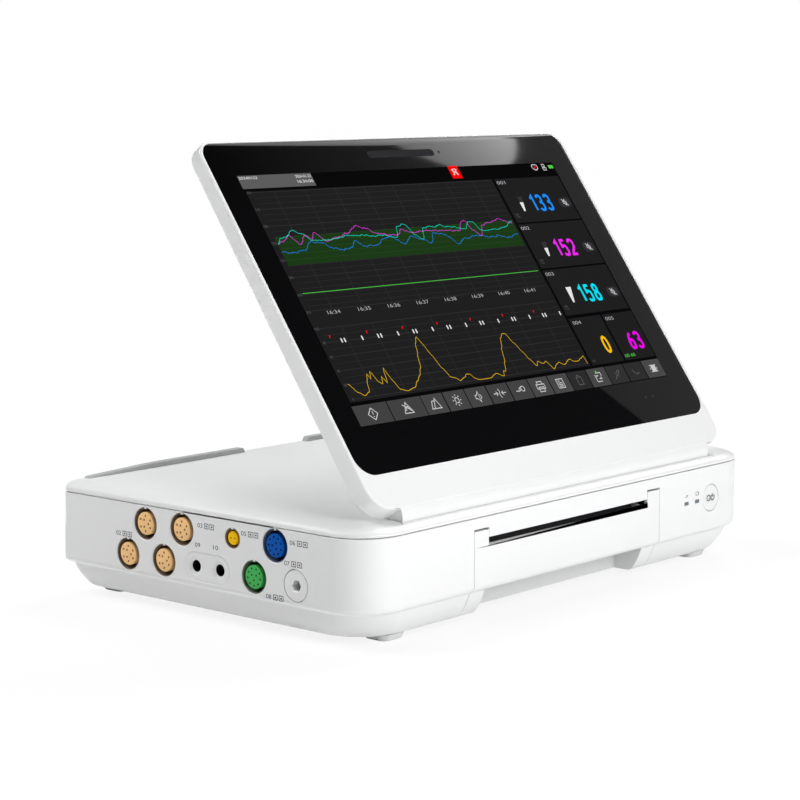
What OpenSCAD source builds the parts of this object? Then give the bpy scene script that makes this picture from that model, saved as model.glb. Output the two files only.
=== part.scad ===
// Fetal monitor: flat base with a paper drawer and side sockets, and a folding wide screen.
// Frame: +X to the right seen from the front, +Y to the back, +Z up.
// The origin is on the table, under the middle of the outline.

/* [Base] */
// Width of the base
base_w = 395.4; // [380:0.2:420]
// Depth of the base, front to back
base_d = 258; // [250:1:270]
// Radius of the two front corners in plan
front_corner_r = 29; // [20:1:36]
// Radius of the two rear corners in plan
rear_corner_r = 3.5; // [3:0.5:8]
// Thickness of the moulded walls
wall = 2.6; // [2:0.1:3.2]
// Height of the feet under the base
foot_h = 4; // [3.5:0.5:6]
// Height of the seam between case and top cover
seam_z = 65.4; // [65:0.1:70]
// Height of the crease above the tapered chin
crease_z = 21; // [19:0.5:23]
// Height of the flat top at the rear
top_z = 72.6; // [72:0.1:76]
// Fall of the flat top from rear to front
top_fall = 2.3; // [1.5:0.1:3]
// Width and depth of a foot
foot_w = 20; // [16:1:24]

/* [Screen] */
// Angle of the screen above the table
screen_tilt = 55; // [35:1:80]
// Width of the screen frame
frame_w = 355.8; // [350:0.2:366]
// Border between the lit area and the frame's side
lcd_border = 23; // [21:0.2:30]
// Height of the lit area
lcd_h = 174.2; // [160:0.2:175]
// Border of the frame around the glass
rim_w = 2.7; // [2:0.1:4]
// Frame thickness at the top edge
frame_t_top = 10.7; // [10:0.1:12]
// Frame thickness at the bottom edge
frame_t_bottom = 13.5; // [12.5:0.1:14]
// Radius of the hinge barrel
barrel_r = 13; // [12:0.1:13]
// Length of the hinge barrel
barrel_len = 313.6; // [300:0.2:318]
// Thickness of the touch glass
glass_t = 1.8; // [1.1:0.1:2.2]
// Gap between barrel and trough
barrel_gap = 0.6; // [0.4:0.1:1]

/* [Printer] */
// Width of the chart paper
paper_w = 152; // [145:1:152]
// Depth of the folded paper pack
paper_d = 90; // [80:1:92]
// Height of the folded paper pack
paper_h = 16; // [8:1:20]
// Width of the drawer's front beside the paper, on each side
drawer_side = 18.9; // [18.5:0.1:20]
// Sideways place of the drawer's middle
drawer_x = -6.3; // [-8:0.1:-5]
// Width of each ear beside the paper slot
ear_w = 13.4; // [12:0.1:14]
// Height of the slot's lower lip
lip_z = 47; // [46:0.5:48]
// Height of the slot's upper edge
slot_top_z = 52.2; // [51.8:0.1:53]
// Gap around the drawer's front
drawer_gap = 0.4; // [0.3:0.1:0.5]
// Depth of the finger recess
recess_d = 25.5; // [24:0.5:30]
// Radius of the platen roller
roller_r = 7.5; // [6:0.1:7.6]
// Radius of the roller's shaft
shaft_r = 2.5; // [2:0.1:3]
// Teeth on the motor's pinion, half as many as on the roller's gear
pinion_teeth = 11; // [10:1:11]
// Module of the gear teeth
gear_module = 1; // [0.9:0.05:1]
// Face width of the gears
gear_w = 5; // [4:0.5:5]

/* [Sockets and button] */
// Outer radius of the large round sockets
socket_r = 10; // [9:0.1:10]
// Wall of a round socket's shell
socket_wall = 1.2; // [1:0.1:1.5]
// Depth of the round sockets
socket_depth = 15; // [12:1:18]
// Radius of a socket's coloured insert
insert_r = 6.8; // [6:0.1:7]
// Distance of an insert's face behind the socket's rim
insert_drop = 2; // [1:0.1:3]
// Radius of the temperature socket
temp_r = 6.2; // [5.5:0.1:7]
// Radius of the hose port's collar
port_r = 9.7; // [8:0.1:10]
// Radius of the hose port's bore
port_bore_r = 2.6; // [2:0.1:3]
// Radius of a jack's hole
jack_r = 3.6; // [3:0.1:4]
// Height of the lower row of sockets
low_row_z = 33.2; // [32:0.2:35]
// Height of the upper row of sockets
high_row_z = 54.2; // [53:0.2:54.6]
// Radius of the power button
button_r = 9; // [7:0.1:10]
// Travel of the power button
button_travel = 1.2; // [0.8:0.1:1.5]

/* [Hidden] */

half_w = base_w / 2;
half_d = base_d / 2;
front_y = -half_d;
corner_steps = 8;
running_fit = 0.05;
tiny = 0.02;
far = 400;

// Pivot of the screen
pivot_y = front_y + 20.85;
pivot_z = top_z - 0.4;
pivot_drop = 51.55;
pivot_depth = barrel_r + 0.2;
lcd_w = frame_w - 2 * lcd_border;
frame_bottom = -53.2;
frame_top = lcd_h + 25.3;
glass_bottom = -30.4;
glass_top = frame_top - rim_w + 0.9;
frame_corner_top = 13;
frame_corner_bottom = 17;
frame_wall = 3;
glass_gap = 0.15;
back_t = 1.8;
hinge_inset = 16.8;
hinge_x = barrel_len / 2 - hinge_inset;
hinge_w = 16;
hinge_grip = 8;
knuckle_r = 7.6;
hinge_shaft_r = 4;
pocket_r = knuckle_r + 0.7;
leg_t = 6;
trough_r = barrel_r + barrel_gap;
trough_wall = 2.4;
bracket_foot_z = 51;
bracket_foot_t = 3;
bracket_foot_w = 20;
bracket_foot_y0 = pivot_y - leg_t / 2;
bracket_foot_y1 = pivot_y + 27;
hinge_screw_r = 2;
hinge_screw_len = 8;
hinge_screw_y = bracket_foot_y1 - 8;
post_r = 4.6;

// Floor of the case
floor_z = foot_h;
floor_t = wall;
inner_z = floor_z + floor_t;
cover_lip = 0.2;

// Drawer and printer
drawer_w = paper_w + 2 * drawer_side;
drawer_x0 = drawer_x - drawer_w / 2;
drawer_x1 = drawer_x + drawer_w / 2;
ear_x0 = drawer_x0 + ear_w;
ear_x1 = drawer_x1 - ear_w;
ear_z = slot_top_z + 4.8;
ear_gap = 1.2;
recess_y = front_y + recess_d;
recess_wall = 2.4;
door_t = 3;
door_z = crease_z - 0.7;
pocket_z = 32;
tray_wall = 2.6;
tray_x0 = drawer_x - paper_w / 2 - 2 - tray_wall;
tray_x1 = drawer_x + paper_w / 2 + 2 + tray_wall;
tray_z = inner_z + 2.6;
tray_floor = 2;
tray_h_z = 41;
tray_back_y = recess_y + recess_wall + paper_d + 6;
roller_y = front_y + 16;
roller_z = lip_z - 3.5;
cheek_y1 = roller_y + 10;
gear_x1 = tray_x0 - 4.5;
gear_x0 = gear_x1 - gear_w;
gear_teeth = 2 * pinion_teeth;
pitch_gear = gear_module * gear_teeth / 2;
pitch_pinion = gear_module * pinion_teeth / 2;
mesh_gap = 0.35;
mesh_angle = -15;
pinion_y = roller_y + (pitch_gear + pitch_pinion + mesh_gap) * cos(mesh_angle);
pinion_z = roller_z + (pitch_gear + pitch_pinion + mesh_gap) * sin(mesh_angle);
motor_r = 11;
motor_len = 16;
motor_shaft_r = 1.5;
bush_r = 4;
rail_plate_t = 1.6;
rail_wall = 1.6;
runner_gap = 0.4;
runner_x0 = drawer_x0 + 0.3;
runner_x1 = drawer_x1 - 0.3;
rail_x0 = runner_x0 - runner_gap - rail_wall;
rail_x1 = runner_x1 + runner_gap + rail_wall;
rail_y0 = recess_y + 4;
rail_y1 = tray_back_y + 4;
runner_z = 26;
runner_h = 4;
rail_reach = 7;
rail_lip = 1.8;
head_z = roller_z + roller_r + 0.5;
head_t = 4;
head_y1 = roller_y + 14;
bar_z = head_z + head_t - 2.8;

// Sockets on the left side, as distances behind the front face and heights
fetal_places = [[181, high_row_z - 0.4], [197.1, low_row_z - 0.2],
    [148.9, high_row_z + 0.1], [165, low_row_z]];
spo2_place = [70.8, high_row_z + 0.3];
ecg_place = [88.2, low_row_z + 0.4];
temp_place = [105.8, high_row_z + 0.2];
port_place = [54, low_row_z];
jack_place = [127.4, low_row_z + 0.1];
jack_plate_w = 37.6;
jack_plate_h = 17.2;
jack_pitch = 20.1;
socket_face = 0.2;
socket_back = socket_depth + socket_face;
board_t = 1.6;

// Button and lamps on the front
button_x = half_w - 48.8;
button_z = 43.3;
button_gap = 0.35;
lamp_x = [button_x - 28.6, button_x - 16.2];
lamp_z = 43;
lamp_w = 5;
lamp_h = 2.4;
front_board_y = front_y + 16;

// Rounded plan outline, counter-clockwise from the right front corner.
// side, front and back are insets of the walls; each point gets its height from zf.
function corner(cx, cy, r, a0) =
    [for (i = [0:corner_steps]) [cx + r * cos(a0 + 90 * i / corner_steps),
        cy + r * sin(a0 + 90 * i / corner_steps)]];
function plan(side, front, back, rf, rb) =
    let (x = half_w - side, y0 = -half_d + front, y1 = half_d - back,
        a = max(rf - side, 0.6), b = max(rb - side, 0.6))
    concat(corner(x - a, y0 + a, a, -90), corner(x - b, y1 - b, b, 0),
        corner(-x + b, y1 - b, b, 90), corner(-x + a, y0 + a, a, 180));

// Closed solid through stacked rings of equal point counts
module loft(rings) {
    n = len(rings[0]);
    m = len(rings);
    polyhedron(
        points = [for (ring = rings) each ring],
        faces = concat(
            [[for (i = [0:n - 1]) i]],
            [for (k = [0:m - 2], i = [0:n - 1]) [k * n + (i + 1) % n, k * n + i, (k + 1) * n + i]],
            [for (k = [0:m - 2], i = [0:n - 1])
                [k * n + (i + 1) % n, (k + 1) * n + i, (k + 1) * n + (i + 1) % n]],
            [[for (i = [n - 1:-1:0]) (m - 1) * n + i]]),
        convexity = 6);
}

function lift(points, z) = [for (p = points) [p[0], p[1], z]];
function case_ring(side, back, z) =
    lift(plan(side, side, side + back, front_corner_r, rear_corner_r), z);

// Outside of the case: tapered chin, soft ledge under the crease, upright wall, waisted back
rear_waist = 1.3;
function chin_ring(inset, z) =
    lift(plan(inset, inset, inset, front_corner_r + inset, rear_corner_r + inset), z);
function chin(inset, f) = chin_ring(inset, floor_z + (crease_z - 1.6 - floor_z) * f);
case_rings = [
    chin(14, 0), chin(12.4, 0.05), chin(10.7, 0.15), chin(8.6, 0.35), chin(6.7, 0.57),
    chin(5.2, 0.8), chin(4, 1),
    case_ring(2.4, 0, crease_z - 0.4), case_ring(0.8, 0, crease_z + 0.8),
    case_ring(0, 0, crease_z + 3),
    case_ring(0, 0, crease_z + 9), case_ring(0, 0.4, crease_z + 20.5),
    case_ring(0, rear_waist, crease_z + 29), case_ring(0, rear_waist, seam_z - cover_lip)];

module case_outside() loft(case_rings);

module case_inside() {
    loft([
        chin_ring(wall + 12.4, inner_z),
        chin_ring(wall + 8.6, inner_z + 3),
        chin_ring(wall + 5, crease_z - 2),
        case_ring(wall, 0, crease_z + 3.5),
        case_ring(wall, rear_waist, crease_z + 18),
        case_ring(wall, rear_waist, seam_z + 10)]);
}

// Flat top, falling a little towards the front
function top_at(y) = top_z - top_fall * (half_d - y) / base_d;
function cover_ring(t, side_in, front_in, drop) =
    let (s = 1 - cos(90 * t), f = sin(90 * t))
    [for (p = plan(0.3 + side_in * s, 0.3 + front_in * s, rear_waist + 0.3 + 6 * s,
            front_corner_r, rear_corner_r))
        [p[0], p[1], seam_z + 1.2 + (top_at(p[1]) - seam_z - 1.2) * f - drop]];
roll_side = 10;
roll_front = 14;

module cover_outside() {
    band = plan(0.3, 0.3, rear_waist + 0.3, front_corner_r, rear_corner_r);
    loft(concat([lift(band, seam_z)],
        [for (t = [0:0.2:1]) cover_ring(t, roll_side, roll_front, 0)]));
}

module cover_inside() {
    band = plan(wall, wall, rear_waist + wall, front_corner_r, rear_corner_r);
    loft(concat([lift(band, seam_z - 1)],
        [for (t = [0:0.25:1])
            let (s = 1 - cos(90 * t), f = sin(90 * t))
            [for (p = plan(wall + roll_side * s, wall + roll_front * s,
                    rear_waist + wall + 6 * s, front_corner_r, rear_corner_r))
                [p[0], p[1], seam_z + (top_at(p[1]) - wall - seam_z) * f]]]));
}

// Round bar or hole along X from x0 to x1
module along_x(r, x0, x1, y, z, sides = 48)
    translate([x0, y, z]) rotate([0, 90, 0]) cylinder(r = r, h = x1 - x0, $fn = sides);

// Round bar or hole along Y from y0 to y1
module along_y(r, y0, y1, x, z, sides = 48)
    translate([x, y1, z]) rotate([90, 0, 0]) cylinder(r = r, h = y1 - y0, $fn = sides);

module upright(r, z0, z1, x, y, sides = 32)
    translate([x, y, z0]) cylinder(r = r, h = z1 - z0, $fn = sides);

module block(x0, x1, y0, y1, z0, z1)
    translate([x0, y0, z0]) cube([x1 - x0, y1 - y0, z1 - z0]);

// Flat plate with rounded corners
module rounded_plate(x0, x1, y0, y1, z0, z1, r)
    translate([0, 0, z0]) linear_extrude(z1 - z0) {
        translate([x0 + r, y0]) square([x1 - x0 - 2 * r, y1 - y0]);
        translate([x0, y0 + r]) square([x1 - x0, y1 - y0 - 2 * r]);
        for (x = [x0 + r, x1 - r], y = [y0 + r, y1 - r]) translate([x, y]) circle(r = r, $fn = 24);
    }

// Places a child at a socket: local Z points out of the left side
module at_socket(place)
    translate([-half_w, front_y + place[0], place[1]]) rotate([0, -90, 0]) children();

foot_x = half_w - 41.7;
rear_foot_x = half_w - 30.7;
foot_y = front_y + 23.6;
rear_foot_y = half_d - 20;
foot_places = [[-foot_x, foot_y], [foot_x, foot_y],
    [-rear_foot_x, rear_foot_y], [rear_foot_x, rear_foot_y]];
foot_corner = 5;
case_screw_places = [[-half_w + 42, front_y + 48], [half_w - 42, front_y + 48],
    [-half_w + 26, half_d - 52], [half_w - 26, half_d - 46]];
battery_w = 80;
battery_d = 36;
battery_h = 24;
battery_x1 = half_w - 45.7;
battery_x0 = battery_x1 - battery_w;
battery_y1 = half_d - 16;
battery_y0 = battery_y1 - battery_d;
battery_screw_x = [battery_x0 - 4, battery_x1 + 4];
battery_y = (battery_y0 + battery_y1) / 2;
rear_x0 = -110;
rear_x1 = 70;
rear_z0 = 28;
rear_z1 = 52;
rear_face = half_d - rear_waist - 0.6;
inlet_x = 45;
inlet_z = 40;
inlet_w = 28;
inlet_h = 21;
network_x = -30;
network_z = 32;
network_w = 16;
network_h = 14;
usb_x = [-70, -54];
usb_z = 35;
usb_w = 13.6;
usb_h = 7.2;
ground_x = 10;
ground_z = 40;
ground_r = 3;
speaker_x = -half_w + 51.7;
speaker_y = front_y + 78;
speaker_r = 20;
screw_r = 1.6;
screw_head_r = 3;
board_z = inner_z + 6;
board_w = 150;
board_d = 80;
board_x0 = -92;
board_x1 = board_x0 + board_w;
board_y1 = half_d - 16;
board_y0 = board_y1 - board_d;
supply_gap = 15.7;
supply_side_gap = 17.7;
supply_x0 = rail_x1 + supply_gap;
supply_w = half_w - supply_side_gap - supply_x0;
supply_d = 84;
supply_h = 34;
supply_wall = 2;
supply_y0 = half_d - 148;
vent_pitch = (supply_w - 18) / 7;
vent_w = 3;
vent_d = 44;
vent_y = supply_y0 + 20;
pump_r = 13;
pump_len = 34;
pump_head = 20;
pump_head_d = 24;
pump_x0 = -half_w + 35.7;
pump_y = half_d - 62;
nozzle_r = 2.5;
nozzle_len = 4;
board_margin = 16;
screw_depth = 1.6;
frame_foot_y = [rail_y0 + 6, rail_y1 - 6];

module drawer_opening(grow, back) {
    block(drawer_x0 - grow, drawer_x1 + grow, front_y - 5, back, -5, slot_top_z);
    for (x = [[drawer_x0 - grow, ear_x0 + grow], [ear_x1 - grow, drawer_x1 + grow]])
        block(x[0], x[1], front_y - 5, back, slot_top_z - 1, ear_z + ear_gap);
}

// The moulded base: tapered chin, sockets side, drawer bay, posts and screw holes
module main_case() color("whitesmoke") {
    difference() {
        case_outside();
        case_inside();
        intersection() {
            drawer_opening(drawer_gap, recess_y + recess_wall + drawer_gap);
            union() {
                block(-far, far, front_y - 6, recess_y + recess_wall + 1, -6, inner_z + 1);
                block(-far, far, front_y - 6, front_y + 20, -6, ear_z + 9);
            }
        }
        for (p = fetal_places) at_socket(p) translate([0, 0, -20]) cylinder(r = socket_r, h = 30, $fn = 48);
        for (p = [spo2_place, ecg_place])
            at_socket(p) translate([0, 0, -20]) cylinder(r = socket_r, h = 30, $fn = 48);
        at_socket(temp_place) translate([0, 0, -20]) cylinder(r = temp_r, h = 30, $fn = 48);
        at_socket(port_place) translate([0, 0, -20]) cylinder(r = port_r, h = 30, $fn = 48);
        at_socket(jack_place) jack_pill(jack_plate_w, jack_plate_h, -20, 10);
        along_y(button_r + button_gap, front_y - 5, front_y + 8, button_x, button_z);
        for (x = lamp_x) block(x - lamp_w / 2, x + lamp_w / 2, front_y - 5, front_y + 8,
            lamp_z - lamp_h / 2, lamp_z + lamp_h / 2);
        rear_recess();
        block(battery_x0, battery_x1, battery_y0, battery_y1, -5, inner_z + 1);
        for (x = battery_screw_x) upright(screw_r + 0.1, -1, inner_z + 1, x, battery_y);
        for (x = battery_screw_x)
            block(x - 5, x + 5, battery_y - 6, battery_y + 6, -1, floor_z + 1.2);
        for (p = case_screw_places) upright(screw_r + 0.1, -1, inner_z + 1, p[0], p[1]);
        for (p = case_screw_places) upright(screw_head_r + 0.2, -1, floor_z + screw_depth, p[0], p[1]);
        for (i = [-3:3]) block(speaker_x + 5 * i - 1, speaker_x + 5 * i + 1,
            speaker_y - 14, speaker_y + 14, -1, inner_z + 1);
        for (i = [0:7]) vent(i, -1, inner_z + 1);
    }
    for (p = case_screw_places) difference() {
        upright(post_r, inner_z - 0.5, seam_z - 1, p[0], p[1]);
        upright(screw_r + 0.1, floor_z, seam_z, p[0], p[1]);
    }
    for (x = [-hinge_x, hinge_x]) difference() {
        upright(post_r, inner_z - 0.5, bracket_foot_z, x, hinge_screw_y);
        upright(hinge_screw_r, bracket_foot_z - hinge_screw_len, bracket_foot_z + 1, x, hinge_screw_y);
    }
    for (x = [board_x0 + 6, board_x1 - 6], y = [board_y0 + 6, board_y1 - 6])
        upright(3, inner_z - 0.5, board_z, x, y);
}

module vent(i, z0, z1) {
    x = supply_x0 + 6 + vent_pitch * i;
    block(x, x + vent_w, vent_y, vent_y + vent_d, z0, z1);
}

module jack_pill(w, h, z0, z1)
    translate([0, 0, z0]) linear_extrude(z1 - z0) {
        square([h, w - h], center = true);
        for (s = [-1, 1]) translate([0, s * (w - h) / 2]) circle(d = h, $fn = 48);
    }

module rear_recess()
    block(rear_x0, rear_x1, rear_face - 6, half_d + 5, rear_z0, rear_z1);

// Top cover: rolled border, gently falling flat, trough for the barrel and rear ridge
module top_cover() color("whitesmoke") {
    trough_x = barrel_len / 2 + barrel_gap;
    difference() {
        union() {
            difference() {
                cover_outside();
                cover_inside();
            }
            intersection() {
                along_x(trough_r + trough_wall, -trough_x - trough_wall, trough_x + trough_wall,
                    pivot_y, pivot_z);
                block(-far, far, -far, far, 0, top_at(pivot_y) - 0.5);
            }
            for (p = case_screw_places)
                upright(post_r, seam_z - 1, top_at(p[1]) - 1, p[0], p[1]);
            rear_ridge();
        }
        along_x(trough_r, -trough_x, trough_x, pivot_y, pivot_z, 64);
        for (x = [-hinge_x, hinge_x])
            block(x - hinge_w / 2, x + hinge_w / 2, pivot_y - leg_t / 2 - 1, pivot_y + leg_t / 2 + 1,
                pivot_z - trough_r - 5, pivot_z);
        for (p = case_screw_places) upright(screw_r, seam_z - 2, top_at(p[1]) - 3.2, p[0], p[1]);
    }
}

// Two low ridges along the back edge, with a finger gap between them
ridge_h = 3.2;
ridge_d = 5;
ridge_y = half_d - rear_waist - 10;
gap_x0 = -45;
gap_x1 = 15;
module rear_ridge() {
    z = top_at(ridge_y) - 0.6;
    e = half_w - 12;
    translate([0, ridge_y + ridge_d, 0]) rotate([90, 0, 0]) linear_extrude(ridge_d) {
        polygon([[-e, z], [gap_x0, z], [gap_x0 - 2, z + ridge_h + 0.6],
            [-e + 66, z + ridge_h + 0.6], [-e + 3, z + 1.8]]);
        polygon([[e, z], [e - 3, z + 1.8], [e - 66, z + ridge_h + 0.6],
            [gap_x1 + 2, z + ridge_h + 0.6], [gap_x1, z]]);
    }
}

module rear_panel() color("gainsboro") difference() {
    block(rear_x0, rear_x1, rear_face - 4, rear_face - 2.4, rear_z0, rear_z1);
    block(inlet_x - inlet_w / 2, inlet_x + inlet_w / 2, rear_face - 5, half_d,
        inlet_z - inlet_h / 2, inlet_z + inlet_h / 2);
    block(network_x - network_w / 2, network_x + network_w / 2, rear_face - 5, half_d,
        network_z, network_z + network_h);
    for (x = usb_x) block(x - usb_w / 2, x + usb_w / 2, rear_face - 5, half_d, usb_z, usb_z + usb_h);
    along_y(ground_r, rear_face - 6, half_d, ground_x, ground_z);
}

module mains_inlet() color("dimgray") {
    difference() {
        block(inlet_x - inlet_w / 2, inlet_x + inlet_w / 2, rear_face - 28, rear_face - 1.8,
            inlet_z - inlet_h / 2, inlet_z + inlet_h / 2);
        block(inlet_x - inlet_w / 2 + 2, inlet_x + inlet_w / 2 - 2, rear_face - 20, half_d,
            inlet_z - inlet_h / 2 + 2.5, inlet_z + inlet_h / 2 - 2.5);
    }
    for (p = [[-7, -2], [0, 2.5], [7, -2]])
        block(inlet_x + p[0] - 1, inlet_x + p[0] + 1, rear_face - 21, rear_face - 8,
            inlet_z + p[1] - 2, inlet_z + p[1] + 2);
}

module network_socket() color("silver") difference() {
    block(network_x - network_w / 2, network_x + network_w / 2, rear_face - 22, rear_face - 2,
        network_z, network_z + network_h);
    block(network_x - network_w / 2 + 2, network_x + network_w / 2 - 2, rear_face - 14, half_d,
        network_z + 2, network_z + network_h - 3.5);
    block(network_x - 2.2, network_x + 2.2, rear_face - 14, half_d,
        network_z + network_h - 4, network_z + network_h - 1.4);
}

module usb_sockets() color("silver") for (x = usb_x) {
    difference() {
        block(x - usb_w / 2, x + usb_w / 2, rear_face - 18, rear_face - 2, usb_z, usb_z + usb_h);
        block(x - usb_w / 2 + 0.6, x + usb_w / 2 - 0.6, rear_face - 13, half_d, usb_z + 1, usb_z + usb_h - 1);
    }
    block(x - usb_w / 2 + 1.2, x + usb_w / 2 - 1.2, rear_face - 14, rear_face - 4, usb_z + 4, usb_z + 5.4);
}

module ground_terminal() color("goldenrod") {
    along_y(ground_r, rear_face - 12, rear_face - 1.2, ground_x, ground_z);
    along_y(ground_r + 2, rear_face - 6.5, rear_face - 4, ground_x, ground_z);
}

module battery_cover() color("whitesmoke") difference() {
    union() {
        block(battery_x0 + 0.3, battery_x1 - 0.3, battery_y0 + 0.3, battery_y1 - 0.3, floor_z, inner_z - 0.4);
        block(battery_x0 - 8.6, battery_x1 + 8.6, battery_y - 5.7, battery_y + 5.7, floor_z, floor_z + 1.1);
    }
    for (x = battery_screw_x) upright(screw_r + 0.1, 0, inner_z, x, battery_y);
    for (i = [0:5]) block(battery_x0 + 8 + 3 * i, battery_x0 + 9.4 + 3 * i,
        battery_y - 8, battery_y + 8, 0, floor_z + 0.5);
}

module screw(x, y, z0, shank) {
    difference() {
        upright(screw_head_r, z0, z0 + 1.2, x, y, 24);
        block(x - 2, x + 2, y - 0.3, y + 0.3, z0 - 1, z0 + 0.6);
    }
    upright(screw_r, z0 + 1.1, z0 + shank, x, y, 24);
}

module battery_screws() color("silver")
    for (x = battery_screw_x) screw(x, battery_y, floor_z - 1.2, 5);

module case_screws() color("silver")
    for (p = case_screw_places) screw(p[0], p[1], floor_z + screw_depth - 1.2, top_at(p[1]) - 12);

module battery_pack() color("royalblue") difference() {
    rounded_plate(battery_x0 + 1, battery_x1 - 1, battery_y0 + 1, battery_y1 - 1,
        inner_z - 0.4, inner_z - 0.4 + battery_h, 3);
    for (i = [1:3]) block(battery_x0 + 20 * i - 0.4, battery_x0 + 20 * i + 0.4,
        battery_y0, battery_y1, inner_z + battery_h - 1.2, inner_z + battery_h);
}

module foot(i) color("gray") {
    x = foot_places[i][0];
    y = foot_places[i][1];
    rounded_plate(x - foot_w / 2, x + foot_w / 2, y - foot_w / 2, y + foot_w / 2, 0, foot_h, foot_corner);
}
module foot_front_left() foot(0);
module foot_front_right() foot(1);
module foot_rear_left() foot(2);
module foot_rear_right() foot(3);

// Round socket shell: tube with a key rib at the top and a closed back
shell_floor = 2.5;
module socket_shell(r, depth) {
    translate([0, 0, -socket_face]) rotate([180, 0, 0]) difference() {
        cylinder(r = r, h = depth, $fn = 48);
        translate([0, 0, -1]) cylinder(r = r - socket_wall, h = depth - shell_floor + 1, $fn = 48);
    }
    translate([r - socket_wall - 0.9, -1.2, -depth + 1]) cube([1.2, 2.4, depth - 2.5]);
}

// Coloured insert with pin holes in rings
pin_r = 0.65;
pin_depth = 4;
module socket_insert(r, depth, rings) {
    h = depth - shell_floor - insert_drop;
    translate([0, 0, -depth + shell_floor - socket_face]) difference() {
        cylinder(r = r, h = h, $fn = 48);
        for (ring = rings, k = [0:ring[1] - 1]) rotate(360 * k / ring[1] + ring[2])
            translate([ring[0], 0, h - pin_depth]) cylinder(r = pin_r, h = pin_depth + 1, $fn = 16);
    }
}

module fetal_socket(i) color("dimgray")
    at_socket(fetal_places[i]) socket_shell(socket_r, socket_depth);
module fetal_insert(i) color("sandybrown")
    at_socket(fetal_places[i]) socket_insert(insert_r, socket_depth, [[1.9, 3, 60], [4.7, 6, 0]]);
module fetal_socket_1() fetal_socket(0);
module fetal_socket_2() fetal_socket(1);
module fetal_socket_3() fetal_socket(2);
module fetal_socket_4() fetal_socket(3);
module fetal_insert_1() fetal_insert(0);
module fetal_insert_2() fetal_insert(1);
module fetal_insert_3() fetal_insert(2);
module fetal_insert_4() fetal_insert(3);

module spo2_socket() color("dimgray") at_socket(spo2_place) socket_shell(socket_r, socket_depth);
module spo2_insert() color("steelblue")
    at_socket(spo2_place) socket_insert(insert_r, socket_depth, [[2, 4, 45], [4.9, 8, 0]]);
module ecg_socket() color("dimgray") at_socket(ecg_place) socket_shell(socket_r, socket_depth);
module ecg_insert() color("mediumseagreen")
    at_socket(ecg_place) socket_insert(insert_r, socket_depth, [[2, 4, 45], [4.9, 8, 0]]);
module temp_socket() color("dimgray") at_socket(temp_place) socket_shell(temp_r, socket_depth);
module temp_insert() color("gold")
    at_socket(temp_place) socket_insert(temp_r - 2.2, socket_depth, [[1.5, 2, 90]]);

// Hose port: collar with a hexagon mouth and a bore
module pressure_port() color("lightgray") at_socket(port_place) difference() {
    translate([0, 0, -socket_back]) cylinder(r = port_r, h = socket_depth, $fn = 48);
    translate([0, 0, -1.6]) cylinder(r = 3.6, h = 3, $fn = 6);
    translate([0, 0, -socket_depth + 2]) cylinder(r = port_bore_r, h = socket_depth, $fn = 32);
}

module jack_plate() color("lightgray") at_socket(jack_place) difference() {
    jack_pill(jack_plate_w, jack_plate_h, -socket_back, -socket_face);
    for (s = [-1, 1]) translate([0, s * jack_pitch / 2, 0]) {
        translate([0, 0, -socket_depth + 2]) cylinder(r = jack_r, h = socket_depth, $fn = 32);
        translate([0, 0, -1.4]) cylinder(r1 = jack_r, r2 = jack_r + 2.6, h = 1.4, $fn = 48);
    }
}

module connector_board() color("darkgreen")
    block(-half_w + socket_back, -half_w + socket_back + board_t,
        front_y + port_place[0] - board_margin, front_y + fetal_places[1][0] + board_margin,
        inner_z, seam_z - 3);

module front_board() color("darkgreen")
    block(lamp_x[0] - 10, button_x + 11, front_board_y, front_board_y + board_t, inner_z, 50.5);

module button_switch() color("dimgray") {
    block(button_x - 4, button_x + 4, front_board_y - 4, front_board_y, button_z - 4, button_z + 4);
}

module indicator_windows() color("slategray") for (x = lamp_x)
    block(x - lamp_w / 2 + 0.1, x + lamp_w / 2 - 0.1, front_y + 0.2, front_board_y,
        lamp_z - lamp_h / 2 + 0.1, lamp_z + lamp_h / 2 - 0.1);

// Button: shallow dished cap, retaining flange and stem to the switch
module power_button() color("gainsboro")
    translate([button_x, front_y + 0.1, button_z]) rotate([-90, 0, 0]) {
        rotate_extrude($fn = 48) polygon([[0, 0.5], [3, 0.42], [6, 0.2], [button_r - 0.8, 0],
            [button_r - 0.2, 0.2], [button_r, 0.7], [button_r, wall + 0.3], [button_r + 1.4, wall + 0.3],
            [button_r + 1.4, wall + 1.6], [0, wall + 1.6]]);
        translate([0, 0, wall + 1.5]) cylinder(r = 2.8,
            h = front_board_y - 4 - front_y - wall - 1.6 - button_travel - 0.3, $fn = 32);
    }

module chip(x, y, w, d, h)
    block(board_x0 + x, board_x0 + x + w, board_y0 + y, board_y0 + y + d,
        board_z + board_t - tiny, board_z + board_t + h);
module main_board() color("darkgreen") {
    block(board_x0, board_x1, board_y0, board_y1, board_z, board_z + board_t);
    chip(32, 22, 24, 24, 2);
    chip(72, 28, 14, 18, 2);
    chip(98, 14, 30, 12, 8);
    chip(10, 12, 10, 40, 9);
    chip(100, 46, 18, 18, 3);
    for (i = [0:4]) upright(3, board_z + 1, board_z + 12, board_x0 + 56 + 9 * i, board_y0 + 10);
}

module power_supply() color("silver") difference() {
    x1 = supply_x0 + supply_w;
    y1 = supply_y0 + supply_d;
    block(supply_x0, x1, supply_y0, y1, inner_z, inner_z + supply_h);
    block(supply_x0 + supply_wall, x1 - supply_wall, supply_y0 + supply_wall, y1 - supply_wall,
        inner_z + supply_wall, inner_z + supply_h - supply_wall);
    for (i = [0:7]) vent(i, 0, inner_z + supply_h + 5);
}

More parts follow.
